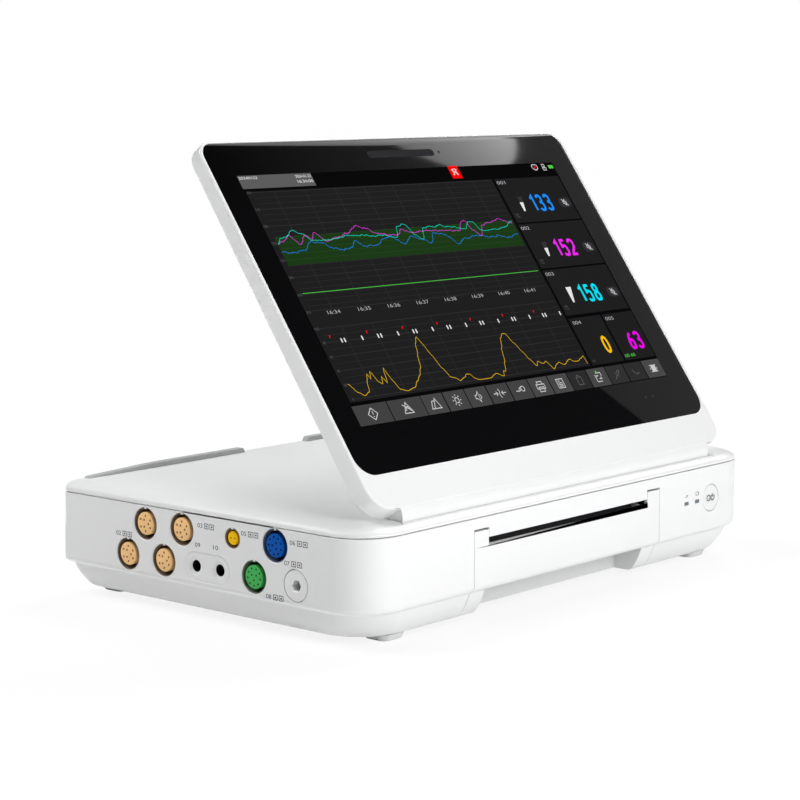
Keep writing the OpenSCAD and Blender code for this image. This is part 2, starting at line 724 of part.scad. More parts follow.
module pressure_pump() color("darkgray") {
    head_x = pump_x0 + pump_len;
    along_x(pump_r, pump_x0, head_x, pump_y, inner_z + pump_r, 32);
    block(head_x - 0.5, head_x + pump_head, pump_y - pump_head_d / 2, pump_y + pump_head_d / 2,
        inner_z, inner_z + 2 * pump_r);
    along_x(nozzle_r, head_x + pump_head - 0.5, head_x + pump_head + nozzle_len, pump_y - 6,
        inner_z + pump_r + 6, 20);
}

module speaker() color("black") {
    upright(speaker_r, inner_z, inner_z + 3, speaker_x, speaker_y, 40);
    upright(speaker_r - 6, inner_z + 2.9, inner_z + 12, speaker_x, speaker_y, 40);
}

// Gear outline with straight-sided teeth, phase turning the first tooth
module gear_outline(teeth, phase) {
    m = gear_module;
    r = m * teeth / 2;
    root = r - 1.2 * m;
    tip = r + 0.9 * m;
    step = 360 / teeth;
    rotate(phase) polygon([for (k = [0:teeth - 1], q = [[-0.31, root], [-0.1, tip], [0.1, tip], [0.31, root]])
        [q[1] * cos(step * (k + q[0])), q[1] * sin(step * (k + q[0]))]]);
}

// Turns a drawing in (y, z) into a slice along X
module slice_x(x0, x1, y, z)
    translate([x0, y, z]) rotate([90, 0, 90]) linear_extrude(x1 - x0) children();

module roller_gear() color("ivory") difference() {
    slice_x(gear_x0, gear_x1, roller_y, roller_z) gear_outline(gear_teeth, mesh_angle);
    along_x(shaft_r, gear_x0 - 1, gear_x1 + 1, roller_y, roller_z);
}

module motor_pinion() color("ivory") {
    slice_x(gear_x0, gear_x1, pinion_y, pinion_z)
        gear_outline(pinion_teeth, 180 + mesh_angle + 180 / pinion_teeth);
    along_x(motor_shaft_r, rail_x0 - rail_plate_t - 6, gear_x0 + 1, pinion_y, pinion_z);
}

module paper_motor() color("dimgray") difference() {
    along_x(motor_r, rail_x0 - rail_plate_t - motor_len, rail_x0 - rail_plate_t, pinion_y, pinion_z);
    along_x(motor_shaft_r + running_fit, rail_x0 - rail_plate_t - 7, rail_x0, pinion_y, pinion_z);
}

module platen_roller() color("dimgray") difference() {
    along_x(roller_r, tray_x0 + tray_wall + 0.7, tray_x1 - tray_wall - 0.7, roller_y, roller_z, 64);
    along_x(shaft_r, tray_x0, tray_x1, roller_y, roller_z);
}

module roller_shaft() color("silver")
    along_x(shaft_r, gear_x0 - 0.6, tray_x1 + 2, roller_y, roller_z);

module roller_bushes() color("goldenrod")
    for (x = [tray_x0, tray_x1 - tray_wall]) difference() {
        along_x(bush_r, x, x + tray_wall, roller_y, roller_z);
        along_x(shaft_r + running_fit, x - 1, x + tray_wall + 1, roller_y, roller_z);
    }

// Pull-out drawer: door with ears, chin blocks, finger recess, paper tray and runners
module paper_drawer() color("whitesmoke") {
    difference() {
        intersection() {
            case_outside();
            drawer_front();
        }
        block(tray_x0, tray_x1, front_y - 5, recess_y, -5, door_z);
        block(tray_x0, tray_x1, front_y + door_t, recess_y, 0, pocket_z);
    }
    difference() {
        tray();
        for (x = [tray_x0, tray_x1 - tray_wall])
            along_x(bush_r, x - 1, x + tray_wall + 1, roller_y, roller_z);
        block(drawer_x - 28, drawer_x + 28, tray_back_y - 5, tray_back_y + 1, 28, far);
    }
}

module drawer_front() {
    block(drawer_x0, drawer_x1, front_y - 1, front_y + door_t, 0, lip_z);
    translate([drawer_x0, 0, 0]) rotate([90, 0, 90]) linear_extrude(drawer_w)
        polygon([[front_y, lip_z - 1], [front_y, lip_z], [front_y + door_t, lip_z + door_t],
            [front_y + door_t + 0.6, lip_z + door_t], [front_y + door_t + 0.6, lip_z - 1]]);
    for (x = [[drawer_x0, ear_x0], [ear_x1, drawer_x1]])
        block(x[0], x[1], front_y - 1, front_y + door_t, lip_z - 1, ear_z);
    for (x = [[drawer_x0, tray_x0 + 0.1], [tray_x1 - 0.1, drawer_x1]])
        block(x[0], x[1], front_y - 1, recess_y + recess_wall, 0, door_z + 4);
    for (x = [[tray_x0 - recess_wall, tray_x0 + 0.1], [tray_x1 - 0.1, tray_x1 + recess_wall]])
        block(x[0], x[1], front_y + 1, recess_y + recess_wall, door_z, pocket_z + 2);
    block(tray_x0, tray_x1, recess_y - 0.1, recess_y + recess_wall, 0, pocket_z + 2);
    block(tray_x0, tray_x1, front_y + 1, recess_y + 1, pocket_z, pocket_z + 2);
}

module tray() {
    y0 = recess_y;
    block(tray_x0, tray_x1, y0, tray_back_y, tray_z, tray_z + tray_floor);
    for (x = [tray_x0, tray_x1 - tray_wall]) {
        block(x, x + tray_wall, y0, tray_back_y, tray_z, tray_h_z);
        translate([x, 0, 0]) rotate([90, 0, 90]) linear_extrude(tray_wall)
            polygon([[front_y + 1, pocket_z], [front_y + 1, lip_z], [roller_y - 6, roller_z + 6.2],
                [roller_y + 6, roller_z + 6.2], [cheek_y1 + 8, tray_h_z], [cheek_y1 + 8, pocket_z]]);
    }
    block(tray_x0, tray_x1, tray_back_y - tray_wall, tray_back_y, tray_z, tray_h_z);
    block(runner_x0, tray_x0 + 0.1, rail_y0 + 1, tray_back_y, runner_z, runner_z + runner_h);
    block(tray_x1 - 0.1, runner_x1, rail_y0 + 1, tray_back_y, runner_z, runner_z + runner_h);
}

module paper_pack() color("white") {
    x0 = drawer_x - paper_w / 2;
    y0 = recess_y + recess_wall + 1.5;
    z0 = tray_z + tray_floor;
    folds = 8;
    step = paper_h / folds;
    for (k = [0:folds - 1]) block(x0, x0 + paper_w, y0 + 0.4 * (k % 2), y0 + paper_d - 0.4 * ((k + 1) % 2),
        z0 + k * step, z0 + (k + 1) * step);
}

// Two side plates joined by a bar behind the print head
module printer_frame() color("silver") difference() {
    union() {
        for (x = [rail_x0 - rail_plate_t, rail_x1])
            block(x, x + rail_plate_t, roller_y + 4, rail_y1, inner_z, bar_z + 2.8);
        block(rail_x0 - 1, rail_x1 + 1, head_y1, head_y1 + 12, bar_z, bar_z + 2.8);
        for (x = [rail_x0 - rail_plate_t - 8, rail_x1], y = frame_foot_y)
            block(x, x + 8 + rail_plate_t, y - 5, y + 5, inner_z, inner_z + 1.6);
    }
    along_x(motor_shaft_r + 1.5, rail_x0 - 5, rail_x0 + 1, pinion_y, pinion_z);
}

// Channels that hold the drawer's runners
module drawer_rails() color("lightgray") {
    for (s = [[rail_x0, rail_x0 + rail_reach, rail_x0 + rail_wall, rail_x0 + rail_reach + 1],
            [rail_x1 - rail_reach, rail_x1, rail_x1 - rail_reach - 1, rail_x1 - rail_wall]])
        difference() {
            block(s[0], s[1], rail_y0, rail_y1, runner_z - runner_gap - rail_lip,
                runner_z + runner_h + runner_gap + rail_lip);
            block(s[2], s[3], rail_y0 - 1, rail_y1 + 1,
                runner_z - runner_gap, runner_z + runner_h + runner_gap);
        }
}

module print_head() color("dimgray") {
    x0 = tray_x0 + 3;
    x1 = tray_x1 - 3;
    block(x0, x1, roller_y - 9, head_y1, head_z, head_z + head_t);
    for (i = [0:11]) block(x0 + 4 + 13 * i, x0 + 10 + 13 * i, head_y1 - 8, head_y1 - 1,
        head_z - 2, head_z + 0.1);
}

// Hinges: a knuckle round each shaft, on a leg through the trough with a screwed foot
module hinge_brackets() color("silver") for (x = [-hinge_x, hinge_x]) difference() {
    union() {
        along_x(knuckle_r, x - hinge_w / 2 + 0.5, x + hinge_w / 2 - 0.5, pivot_y, pivot_z);
        block(x - hinge_w / 2 + 0.5, x + hinge_w / 2 - 0.5, pivot_y - leg_t / 2, pivot_y + leg_t / 2,
            bracket_foot_z, pivot_z);
        block(x - bracket_foot_w / 2, x + bracket_foot_w / 2, bracket_foot_y0, bracket_foot_y1,
            bracket_foot_z, bracket_foot_z + bracket_foot_t);
    }
    along_x(hinge_shaft_r + running_fit, x - hinge_w, x + hinge_w, pivot_y, pivot_z);
    upright(hinge_screw_r + 0.2, bracket_foot_z - 1, bracket_foot_z + 9, x, hinge_screw_y);
}

module hinge_screws() color("silver") for (x = [-hinge_x, hinge_x]) {
    z = bracket_foot_z + bracket_foot_t;
    upright(4, z, z + 2.2, x, hinge_screw_y, 24);
    upright(hinge_screw_r, bracket_foot_z - hinge_screw_len, z + 0.1, x, hinge_screw_y);
}

// Moves a drawing from the screen's own plane to its place on the pivot
module on_screen()
    translate([0, pivot_y, pivot_z]) rotate([screen_tilt, 0, 0])
        translate([0, pivot_drop, pivot_depth]) children();

// Thickness of the wedge-shaped frame at height v up the screen
function thick(v) = frame_t_bottom
    + (frame_t_top - frame_t_bottom) * (v - frame_bottom) / (frame_top - frame_bottom);
function outline(w, v0, v1, rb, rt) = concat(
    corner(w / 2 - rb, v0 + rb, rb, -90), corner(w / 2 - rt, v1 - rt, rt, 0),
    corner(-w / 2 + rt, v1 - rt, rt, 90), corner(-w / 2 + rb, v0 + rb, rb, 180));
function frame_outline(g) = outline(frame_w - 2 * g, frame_bottom + g, frame_top - g,
    frame_corner_bottom - g, frame_corner_top - g);
function glass_outline(g) = outline(frame_w - 2 * rim_w - 2 * g, glass_bottom + g, glass_top - g,
    frame_corner_bottom - 4 - g, frame_corner_top - rim_w - g);
// A ring in front of (f = 0) or behind (f = 1) the frame, moved by n
function at_depth(points, f, n) = [for (p = points) [p[0], p[1], n - f * thick(p[1])]];

module frame_solid() loft([
    at_depth(frame_outline(2.6), 1, 0), at_depth(frame_outline(0.9), 1, 0.7),
    at_depth(frame_outline(0.1), 1, 2.2), at_depth(frame_outline(0), 0, -1.1),
    at_depth(frame_outline(0.3), 0, -0.3), at_depth(frame_outline(1), 0, 0)]);

// Screen frame: rounded wedge-shaped bezel moulded together with the hinge barrel
module screen_frame() color("whitesmoke") difference() {
    union() {
        on_screen() frame_solid();
        along_x(barrel_r, -barrel_len / 2, barrel_len / 2, pivot_y, pivot_z, 64);
    }
    on_screen() {
        loft([at_depth(glass_outline(-glass_gap), 0, -glass_t - 0.1),
            at_depth(glass_outline(-glass_gap), 0, 1)]);
        loft([at_depth(glass_outline(4), 1, -5), at_depth(glass_outline(4), 0, 0)]);
        loft([at_depth(frame_outline(frame_wall), 1, -1),
            at_depth(frame_outline(frame_wall), 1, back_t + 0.1)]);
    }
    for (x = [-hinge_x, hinge_x]) {
        along_x(pocket_r, x - hinge_w / 2, x + hinge_w / 2, pivot_y, pivot_z);
        slice_x(x - hinge_w / 2, x + hinge_w / 2, pivot_y, pivot_z)
            polygon([[0, 0], for (a = [-146:17:-10]) 2 * barrel_r * [cos(a), sin(a)]]);
    }
    for (x = [-hinge_x, hinge_x])
        along_x(hinge_shaft_r, x - hinge_w / 2 - hinge_grip, x + hinge_w / 2 + hinge_grip, pivot_y, pivot_z);
}

module hinge_shafts() color("silver") for (x = [-hinge_x, hinge_x])
    along_x(hinge_shaft_r, x - hinge_w / 2 - hinge_grip, x + hinge_w / 2 + hinge_grip, pivot_y, pivot_z);

// Back plate, let into the rear of the frame above the barrel
module screen_back() color("gainsboro") difference() {
    on_screen() loft([at_depth(frame_outline(frame_wall + 0.2), 1, 0.1),
        at_depth(frame_outline(frame_wall + 0.2), 1, back_t)]);
    along_x(barrel_r + 0.3, -far, far, pivot_y, pivot_z, 64);
}

module touch_glass() color("black")
    on_screen() loft([at_depth(glass_outline(0), 0, -glass_t - 0.1), at_depth(glass_outline(0), 0, -0.1)]);

module lcd_panel() color("darkslategray") on_screen() {
    block(-lcd_w / 2 - 5, lcd_w / 2 + 5, -8, lcd_h + 7, -glass_t - 4.5, -glass_t - 0.1);
}

module screen_board() color("darkgreen") on_screen() {
    block(-70, 70, 10, 66, -glass_t - 6.1, -glass_t - 4.5);
    block(-50, -26, 24, 48, -glass_t - 8, -glass_t - 6);
    block(6, 40, 18, 28, -glass_t - 8, -glass_t - 6);
}

main_case();
top_cover();
rear_panel();
mains_inlet();
network_socket();
usb_sockets();
ground_terminal();
battery_cover();
battery_screws();
battery_pack();
case_screws();
foot_front_left();
foot_front_right();
foot_rear_left();
foot_rear_right();
fetal_socket_1();
fetal_socket_2();
fetal_socket_3();
fetal_socket_4();
fetal_insert_1();
fetal_insert_2();
fetal_insert_3();
fetal_insert_4();
spo2_socket();
spo2_insert();
ecg_socket();
ecg_insert();
temp_socket();
temp_insert();
pressure_port();
jack_plate();
connector_board();
front_board();
button_switch();
indicator_windows();
power_button();
main_board();
power_supply();
pressure_pump();
speaker();
printer_frame();
drawer_rails();
print_head();
paper_motor();
motor_pinion();
paper_drawer();
roller_bushes();
paper_pack();
platen_roller();
roller_shaft();
roller_gear();
hinge_brackets();
hinge_screws();
screen_frame();
screen_back();
touch_glass();
lcd_panel();
screen_board();
hinge_shafts();
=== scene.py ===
"""Fetal monitor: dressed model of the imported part, with its stage, lamps and camera."""

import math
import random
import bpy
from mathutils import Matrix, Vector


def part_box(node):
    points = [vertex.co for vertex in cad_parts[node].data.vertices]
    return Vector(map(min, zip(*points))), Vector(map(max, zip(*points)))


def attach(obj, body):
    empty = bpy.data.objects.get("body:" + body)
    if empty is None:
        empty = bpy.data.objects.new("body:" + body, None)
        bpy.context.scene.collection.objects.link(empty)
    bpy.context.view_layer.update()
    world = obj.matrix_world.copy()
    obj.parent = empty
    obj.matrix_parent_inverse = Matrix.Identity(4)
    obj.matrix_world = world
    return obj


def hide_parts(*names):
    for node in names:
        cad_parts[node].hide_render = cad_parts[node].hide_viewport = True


bl_info = {
    "name": "Fetal Monitor",
    "version": (1, 0, 0),
    "blender": (4, 5, 0),
    "location": "View3D > Sidebar > Monitor",
    "description": "Builds the shells, screen picture, finishes and stage of a fetal monitor",
    "category": "Add Mesh",
}

import bmesh
import bpy
from mathutils import Matrix, Vector

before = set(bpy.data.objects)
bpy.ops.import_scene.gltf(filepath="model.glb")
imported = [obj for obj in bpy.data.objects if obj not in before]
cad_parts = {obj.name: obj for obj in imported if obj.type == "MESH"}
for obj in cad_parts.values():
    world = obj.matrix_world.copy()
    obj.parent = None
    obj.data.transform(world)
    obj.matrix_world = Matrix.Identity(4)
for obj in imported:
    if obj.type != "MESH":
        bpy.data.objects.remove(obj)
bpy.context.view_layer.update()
MM = 0.001
WHITE = (1.0, 1.0, 1.0, 1.0)

# Sizes that the shells share with the solids, in millimetres
HALF_W = 197.7
HALF_D = 129.0
FRONT_Y = -HALF_D
FLOOR_Z = 4.0
CREASE_Z = 21.0
SEAM_Z = 65.4
TOP_Z = 72.6
TOP_FALL = 2.3
WALL = 2.6
REAR_WAIST = 1.3
FRONT_CORNER = 29.0
REAR_CORNER = 3.5
PIVOT_Y = FRONT_Y + 20.85
PIVOT_Z = TOP_Z - 0.4
BARREL_R = 13.0
BARREL_LEN = 313.6
TROUGH_R = BARREL_R + 0.6
HINGE_X = BARREL_LEN / 2 - 16.8
HINGE_W = 16.0
LCD_H = 174.2
FRAME_W = 355.8
FRAME_BOTTOM = -53.2
FRAME_TOP = LCD_H + 25.3
RIM = 2.7
GLASS_BOTTOM = -30.4
GLASS_TOP = FRAME_TOP - RIM + 0.9
CORNER_TOP = 13.0
CORNER_BOTTOM = 17.0
DRAWER_X0 = -101.2
DRAWER_X1 = 88.6
EAR_X0 = DRAWER_X0 + 13.4
EAR_X1 = DRAWER_X1 - 13.4
LIP_Z = 47.0
SLOT_TOP_Z = 52.2
EAR_Z = SLOT_TOP_Z + 4.8
DOOR_Z = 20.3
DOOR_T = 3.0
POCKET_Z = 32.0
RECESS_Y = FRONT_Y + 25.5
RECESS_WALL = 2.4
TRAY_X0 = -86.9
TRAY_X1 = 74.3
TRAY_BACK_Y = RECESS_Y + RECESS_WALL + 96.0
LOW_ROW = 33.2
HIGH_ROW = 54.2

# Places in the front wall, as x and height
BUTTON = (148.9, 43.3)
LAMPS = ((120.3, 43.0), (132.7, 43.0))

# Holes in the left side: distance from the front, height and radius
SOCKETS = {
    "fetal_1": (181.0, HIGH_ROW - 0.4, 10.0),
    "fetal_2": (197.1, LOW_ROW - 0.2, 10.0),
    "fetal_3": (148.9, HIGH_ROW + 0.1, 10.0),
    "fetal_4": (165.0, LOW_ROW, 10.0),
    "spo2": (70.8, HIGH_ROW + 0.3, 10.0),
    "ecg": (88.2, LOW_ROW + 0.4, 10.0),
    "temp": (105.8, HIGH_ROW + 0.2, 6.2),
    "hose": (54.0, LOW_ROW, 9.7),
}
JACKS = (127.4, LOW_ROW + 0.1)
JACK_APART = 10.05
SOCKET_DEPTH = 15.2
SOCKET_FLOOR = 12.7

# Sizes of the dressed pieces alone, in millimetres; GLASS_N is the glass face below the bezel's front
DRAWER_GAP = 0.4
SOCKET_FLARE = 0.6
HOSE_FLARE = 0.1
POST_R = 4.6
TRAY_WALL = 2.6
TRAY_TOP = 41
CHEEK_TOP = 49.7
PRINT_LIFT = 0.02
GLASS_N = -0.1

# Angles in degrees from which edges are rounded on moulded pieces and on solids, or shaded sharp
CASE_ANGLE = 52.0
MOULD_ANGLE = 38.0
SOLID_ANGLE = 40.0
SHARP_ANGLE = 32.0


# ---------------------------------------------------------------- properties
def length(name, text, value, low, high, precision):
    return bpy.props.FloatProperty(name=name, description=text, default=value, min=low, max=high,
                                   unit="LENGTH", precision=precision)


def colour(name, text, value):
    return bpy.props.FloatVectorProperty(name=name, description=text, subtype="COLOR", size=3,
                                         default=value, min=0.0, max=1.0)


class MonitorSizes(bpy.types.PropertyGroup):
    edge_round: length("Edge rounding", "Rounding of the moulded edges", 0.0003, 0.0, 0.002, 4)
    corner_steps: bpy.props.IntProperty(
        name="Corner steps", description="Steps in each rounded corner of the shells",
        default=24, min=6, max=48)
    grain_size: length("Grain size", "Size of the moulded grain on the shells",
                       0.00035, 0.0001, 0.002, 5)
    trace_width: length("Trace width", "Width of the traces in the picture", 0.0004, 0.0002, 0.002, 5)
    picture_lift: length("Picture lift", "Height of the picture's first layer above the glass",
                         0.00003, 0.00001, 0.0002, 6)
    floor_size: length("Floor size", "Half width of the floor sheet", 12.0, 2.0, 40.0, 2)


class MonitorColours(bpy.types.PropertyGroup):
    shell: colour("Shell", "White of the case, cover and drawer", (0.845, 0.85, 0.85))
    bezel: colour("Bezel", "White of the screen frame", (0.885, 0.89, 0.89))
    glass: colour("Glass", "Black of the touch glass", (0.0035, 0.0035, 0.004))
    fetal: colour("Fetal inserts", "Orange of the four nine-hole inserts", (1.0, 0.62, 0.285))
    temperature: colour("Temperature insert", "Yellow of the two-hole insert", (1.0, 0.58, 0.004))
    oxygen: colour("Oxygen insert", "Blue of the upper front insert", (0.001, 0.09, 0.43))
    heart: colour("Heart insert", "Green of the lower front insert", (0.07, 0.47, 0.11))
    room: colour("Room", "Colour of the floor and the backdrop", (0.97, 0.97, 0.97))


def sizes():
    return bpy.context.scene.monitor_sizes


def colours():
    return bpy.context.scene.monitor_colours


def tint(rgb):
    """Colour with full opacity, as the colour sockets take it."""
    return tuple(rgb[:3]) + (1.0,)


def screen_rgb(r, g, b):
    """Linear colour of a display value given as 0 to 255."""
    return tuple(c / 12.92 if c <= 0.04045 else ((c + 0.055) / 1.055) ** 2.4
                 for c in (r / 255, g / 255, b / 255))


# ------------------------------------------------------------ shader groups
def new_group(name, ins):
    """A node group with named inputs that gives a colour, a roughness and a height."""
    tree = bpy.data.node_groups.new(name, "ShaderNodeTree")
    kinds = {float: "NodeSocketFloat", tuple: "NodeSocketColor"}
    for label, value in ins:
        sock = tree.interface.new_socket(label, in_out="INPUT", socket_type=kinds[type(value)])
        sock.default_value = value
    for label, kind in (("Colour", tuple), ("Roughness", float), ("Height", float)):
        tree.interface.new_socket(label, in_out="OUTPUT", socket_type=kinds[kind])
    start = tree.nodes.new("NodeGroupInput")
    end = tree.nodes.new("NodeGroupOutput")
    start.location, end.location = (-800, 0), (600, 0)
    return tree, start.outputs, end


def node(tree, kind, at=(0, 0), **values):
    n = tree.nodes.new(kind)
    n.location = at
    for key, value in values.items():
        setattr(n, key, value)
    return n


def feed(tree, slot, value):
    """Links an output to a slot, or sets the slot to a plain value."""
    if isinstance(value, bpy.types.NodeSocket):
        tree.links.new(value, slot)
    else:
        slot.default_value = value


def object_coord(tree, at):
    return node(tree, "ShaderNodeTexCoord", at).outputs["Object"]


def noise(tree, coord, scale, detail, rough, at):
    n = node(tree, "ShaderNodeTexNoise", at)
    for key, value in (("Scale", scale), ("Detail", detail), ("Roughness", rough), ("Vector", coord)):
        feed(tree, n.inputs[key], value)
    return n.outputs["Fac"]


def ramp(tree, value, stops, at):
    """Grey steps at the given places from 0 to 1."""
    n = node(tree, "ShaderNodeValToRGB", at)
    while len(n.color_ramp.elements) < len(stops):
        n.color_ramp.elements.new(0.5)
    for element, (pos, grey) in zip(n.color_ramp.elements, stops):
        element.position = pos
        element.color = (grey, grey, grey, 1.0)
    tree.links.new(value, n.inputs["Fac"])
    return n.outputs[0]


def math_node(tree, kind, a, b, at):
    n = node(tree, "ShaderNodeMath", at, operation=kind)
    for slot, value in zip(n.inputs, (a, b)):
        feed(tree, slot, value)
    return n.outputs[0]


def scaled(tree, value, factor, offset, at):
    """The value times a factor, plus an offset."""
    product = math_node(tree, "MULTIPLY", value, factor, at)
    return math_node(tree, "ADD", product, offset, (at[0] + 160, at[1]))


def mix_colour(tree, fac, a, b, blend, at):
    n = node(tree, "ShaderNodeMix", at, data_type="RGBA", blend_type=blend)
    for slot, value in ((n.inputs[0], fac), (n.inputs[6], a), (n.inputs[7], b)):
        feed(tree, slot, value)
    return n.outputs[2]


def close_group(tree, end, colour, rough, height):
    for key, value in (("Colour", colour), ("Roughness", rough), ("Height", height)):
        tree.links.new(value, end.inputs[key])
    return tree


def new_material(name):
    mat = bpy.data.materials.new(name)
    mat.use_nodes = True
    return mat, mat.node_tree, mat.node_tree.nodes["Principled BSDF"]


def moulded_group():
    """Grain and faint tone changes of moulded plastic."""
    tree, given, end = new_group(
        "Moulded Surface",
        [("Colour", (0.8, 0.8, 0.8, 1.0)), ("Grain Scale", 2800.0), ("Tone", 0.03),
         ("Roughness", 0.42), ("Roughness Change", 0.08)])
    coord = object_coord(tree, (-1000, -300))
    fine = noise(tree, coord, given["Grain Scale"], 1.0, 0.6, (-500, -200))
    broad = noise(tree, coord, 14.0, 3.0, 0.55, (-500, 200))
    tone = math_node(tree, "SUBTRACT", broad, 0.5, (-250, 220))
    tone = scaled(tree, tone, given["Tone"], 1.0, (-80, 220))
    grey = node(tree, "ShaderNodeCombineColor", (200, 220))
    for sock in grey.inputs:
        tree.links.new(tone, sock)
    colour = mix_colour(tree, 1.0, given["Colour"], grey.outputs[0], "MULTIPLY", (380, 200))
    smear = noise(tree, coord, 38.0, 4.0, 0.6, (-500, 0))
    rough = math_node(tree, "SUBTRACT", smear, 0.5, (-250, 0))
    rough = scaled(tree, rough, given["Roughness Change"], given["Roughness"], (-80, 0))
    return close_group(tree, end, colour, rough, fine)


def brushed_group():
    """Fine drawn lines of plated or brushed metal."""
    tree, given, end = new_group(
        "Brushed Metal",
        [("Colour", (0.6, 0.6, 0.6, 1.0)), ("Line Scale", 900.0), ("Roughness", 0.32)])
    coord = object_coord(tree, (-1200, -300))
    stretch = node(tree, "ShaderNodeMapping", (-1000, -300))
    stretch.inputs["Scale"].default_value = (0.06, 1.0, 1.0)
    tree.links.new(coord, stretch.inputs["Vector"])
    lines = noise(tree, stretch.outputs[0], given["Line Scale"], 3.0, 0.6, (-700, -100))
    stain = noise(tree, coord, 60.0, 3.0, 0.5, (-700, 200))
    dimmed = ramp(tree, stain, [(0.3, 0.82), (0.7, 1.0)], (-400, 220))
    colour = mix_colour(tree, 1.0, given["Colour"], dimmed, "MULTIPLY", (200, 200))
    rough = scaled(tree, lines, 0.22, given["Roughness"], (-250, 0))
    return close_group(tree, end, colour, rough, lines)


def speckle_group():
    """Small light and dark flecks, as on rubber, solder mask and paper."""
    tree, given, end = new_group(
        "Fine Speckle",
        [("Colour", (0.5, 0.5, 0.5, 1.0)), ("Fleck", (0.6, 0.6, 0.6, 1.0)), ("Scale", 900.0),
         ("Amount", 0.4), ("Roughness", 0.7)])
    coord = object_coord(tree, (-1200, -300))
    fleck = noise(tree, coord, given["Scale"], 4.0, 0.7, (-700, 0))
    mask = ramp(tree, fleck, [(0.45, 0.0), (0.62, 1.0)], (-450, 100))
    share = math_node(tree, "MULTIPLY", mask, given["Amount"], (-150, 150))
    colour = mix_colour(tree, share, given["Colour"], given["Fleck"], "MIX", (200, 150))
    rough = scaled(tree, fleck, 0.15, given["Roughness"], (-250, -150))
    return close_group(tree, end, colour, rough, fleck)


GROUPS = {"Moulded Surface": moulded_group, "Brushed Metal": brushed_group, "Fine Speckle": speckle_group}


def dressed(name, surface, rgb, bump, bump_dist, metallic=0.0, coat=0.0, coat_rough=0.1, specular=0.5,
            **values):
    """A material whose colour, roughness and bump come from a shared group."""
    if name in bpy.data.materials:
        return bpy.data.materials[name]
    mat, tree, shader = new_material(name)
    group = node(tree, "ShaderNodeGroup", (-400, 100))
    group.node_tree = bpy.data.node_groups.get(surface) or GROUPS[surface]()
    group.inputs["Colour"].default_value = tint(rgb)
    for key, value in values.items():
        group.inputs[key.replace("_", " ").title()].default_value = value
    lift = node(tree, "ShaderNodeBump", (-200, -250))
    lift.inputs["Strength"].default_value = bump
    lift.inputs["Distance"].default_value = bump_dist
    for source, slot in ((group.outputs["Colour"], shader.inputs["Base Color"]),
                         (group.outputs["Roughness"], shader.inputs["Roughness"]),
                         (group.outputs["Height"], lift.inputs["Height"]),
                         (lift.outputs["Normal"], shader.inputs["Normal"])):
        tree.links.new(source, slot)
    for key, value in (("Metallic", metallic), ("Coat Weight", coat), ("Coat Roughness", coat_rough),
                       ("Specular IOR Level", specular)):
        shader.inputs[key].default_value = value
    mat.diffuse_color = tint(rgb)
    return mat


def shell_white():
    grain = 1.0 / max(sizes().grain_size, 1e-5)
    return dressed("moulded white shell", "Moulded Surface", colours().shell, 0.12, 0.00006,
                   grain_scale=grain, tone=0.025, roughness=0.40, roughness_change=0.08)


def bezel_white():
    return dressed("smooth white bezel", "Moulded Surface", colours().bezel, 0.03, 0.00005, coat=0.25,
                   coat_rough=0.18, grain_scale=2200.0, tone=0.02, roughness=0.30, roughness_change=0.06)


def plastic(name, rgb, rough=0.42, coat=0.0, tone=0.08):
    return dressed(name, "Moulded Surface", rgb, 0.08, 0.00006, coat=coat, grain_scale=2400.0, tone=tone,
                   roughness=rough, roughness_change=0.1)


def dull(name, rgb):
    """Matt moulded plastic that keeps its colour under soft light."""
    return dressed(name, "Moulded Surface", rgb, 0.06, 0.00005, specular=0.1, tone=0.06, roughness=0.6,
                   roughness_change=0.08)


def metal(name, rgb, rough=0.3):
    return dressed(name, "Brushed Metal", rgb, 0.12, 0.00004, metallic=1.0, roughness=rough)


def speckled(name, rgb, fleck, scale=900.0, amount=0.4, rough=0.7, bump=0.25):
    return dressed(name, "Fine Speckle", rgb, bump, 0.00008, fleck=tint(fleck), scale=scale, amount=amount,
                   roughness=rough)


def glowing(name, rgb):
    """A lit area of the picture, seen through the glass: its light varies a little like a panel's."""
    mat, tree, shader = new_material(name)
    even = noise(tree, object_coord(tree, (-900, 0)), 9.0, 2.0, 0.5, (-700, 0))
    level = ramp(tree, even, [(0.3, 0.94), (0.7, 1.0)], (-450, 0))
    lit = mix_colour(tree, 1.0, tint(rgb), level, "MULTIPLY", (-150, 0))
    dark = mix_colour(tree, 1.0, (0.0005, 0.0005, 0.0006, 1.0), level, "MULTIPLY", (-150, 250))
    for key, value in (("Emission Color", lit), ("Emission Strength", 1.0), ("Base Color", dark),
                       ("Roughness", 0.12), ("Specular IOR Level", 0.02)):
        feed(tree, shader.inputs[key], value)
    mat.diffuse_color = tint(rgb)
    return mat


# ------------------------------------------------------------- mesh helpers
def arc(x, y, r, angles):
    """Points round (x, y) at the given angles in degrees."""
    return [(x + r * math.cos(math.radians(a)), y + r * math.sin(math.radians(a))) for a in angles]


def corner(x, y, r, a0, steps=None):
    """Quarter circle that starts at the angle a0."""
    steps = steps or sizes().corner_steps
    return arc(x, y, r, [a0 + 90 * i / steps for i in range(steps + 1)])


def rounded(x0, y0, x1, y1, r_low, r_high, steps=None):
    """Rounded rectangle, counter-clockwise from its lower right corner."""
    return (corner(x1 - r_low, y0 + r_low, r_low, -90, steps)
            + corner(x1 - r_high, y1 - r_high, r_high, 0, steps)
            + corner(x0 + r_high, y1 - r_high, r_high, 90, steps)
            + corner(x0 + r_low, y0 + r_low, r_low, 180, steps))


def plan(side, front, back, rf=FRONT_CORNER, rb=REAR_CORNER):
    """Outline of the base seen from above, with the given insets."""
    x = HALF_W - side
    return rounded(-x, -HALF_D + front, x, HALF_D - back, max(rf - side, 0.6), max(rb - side, 0.6))


def lift(points, z):
    """Flat points at one height."""
    return [(x, y, z) for x, y in points]


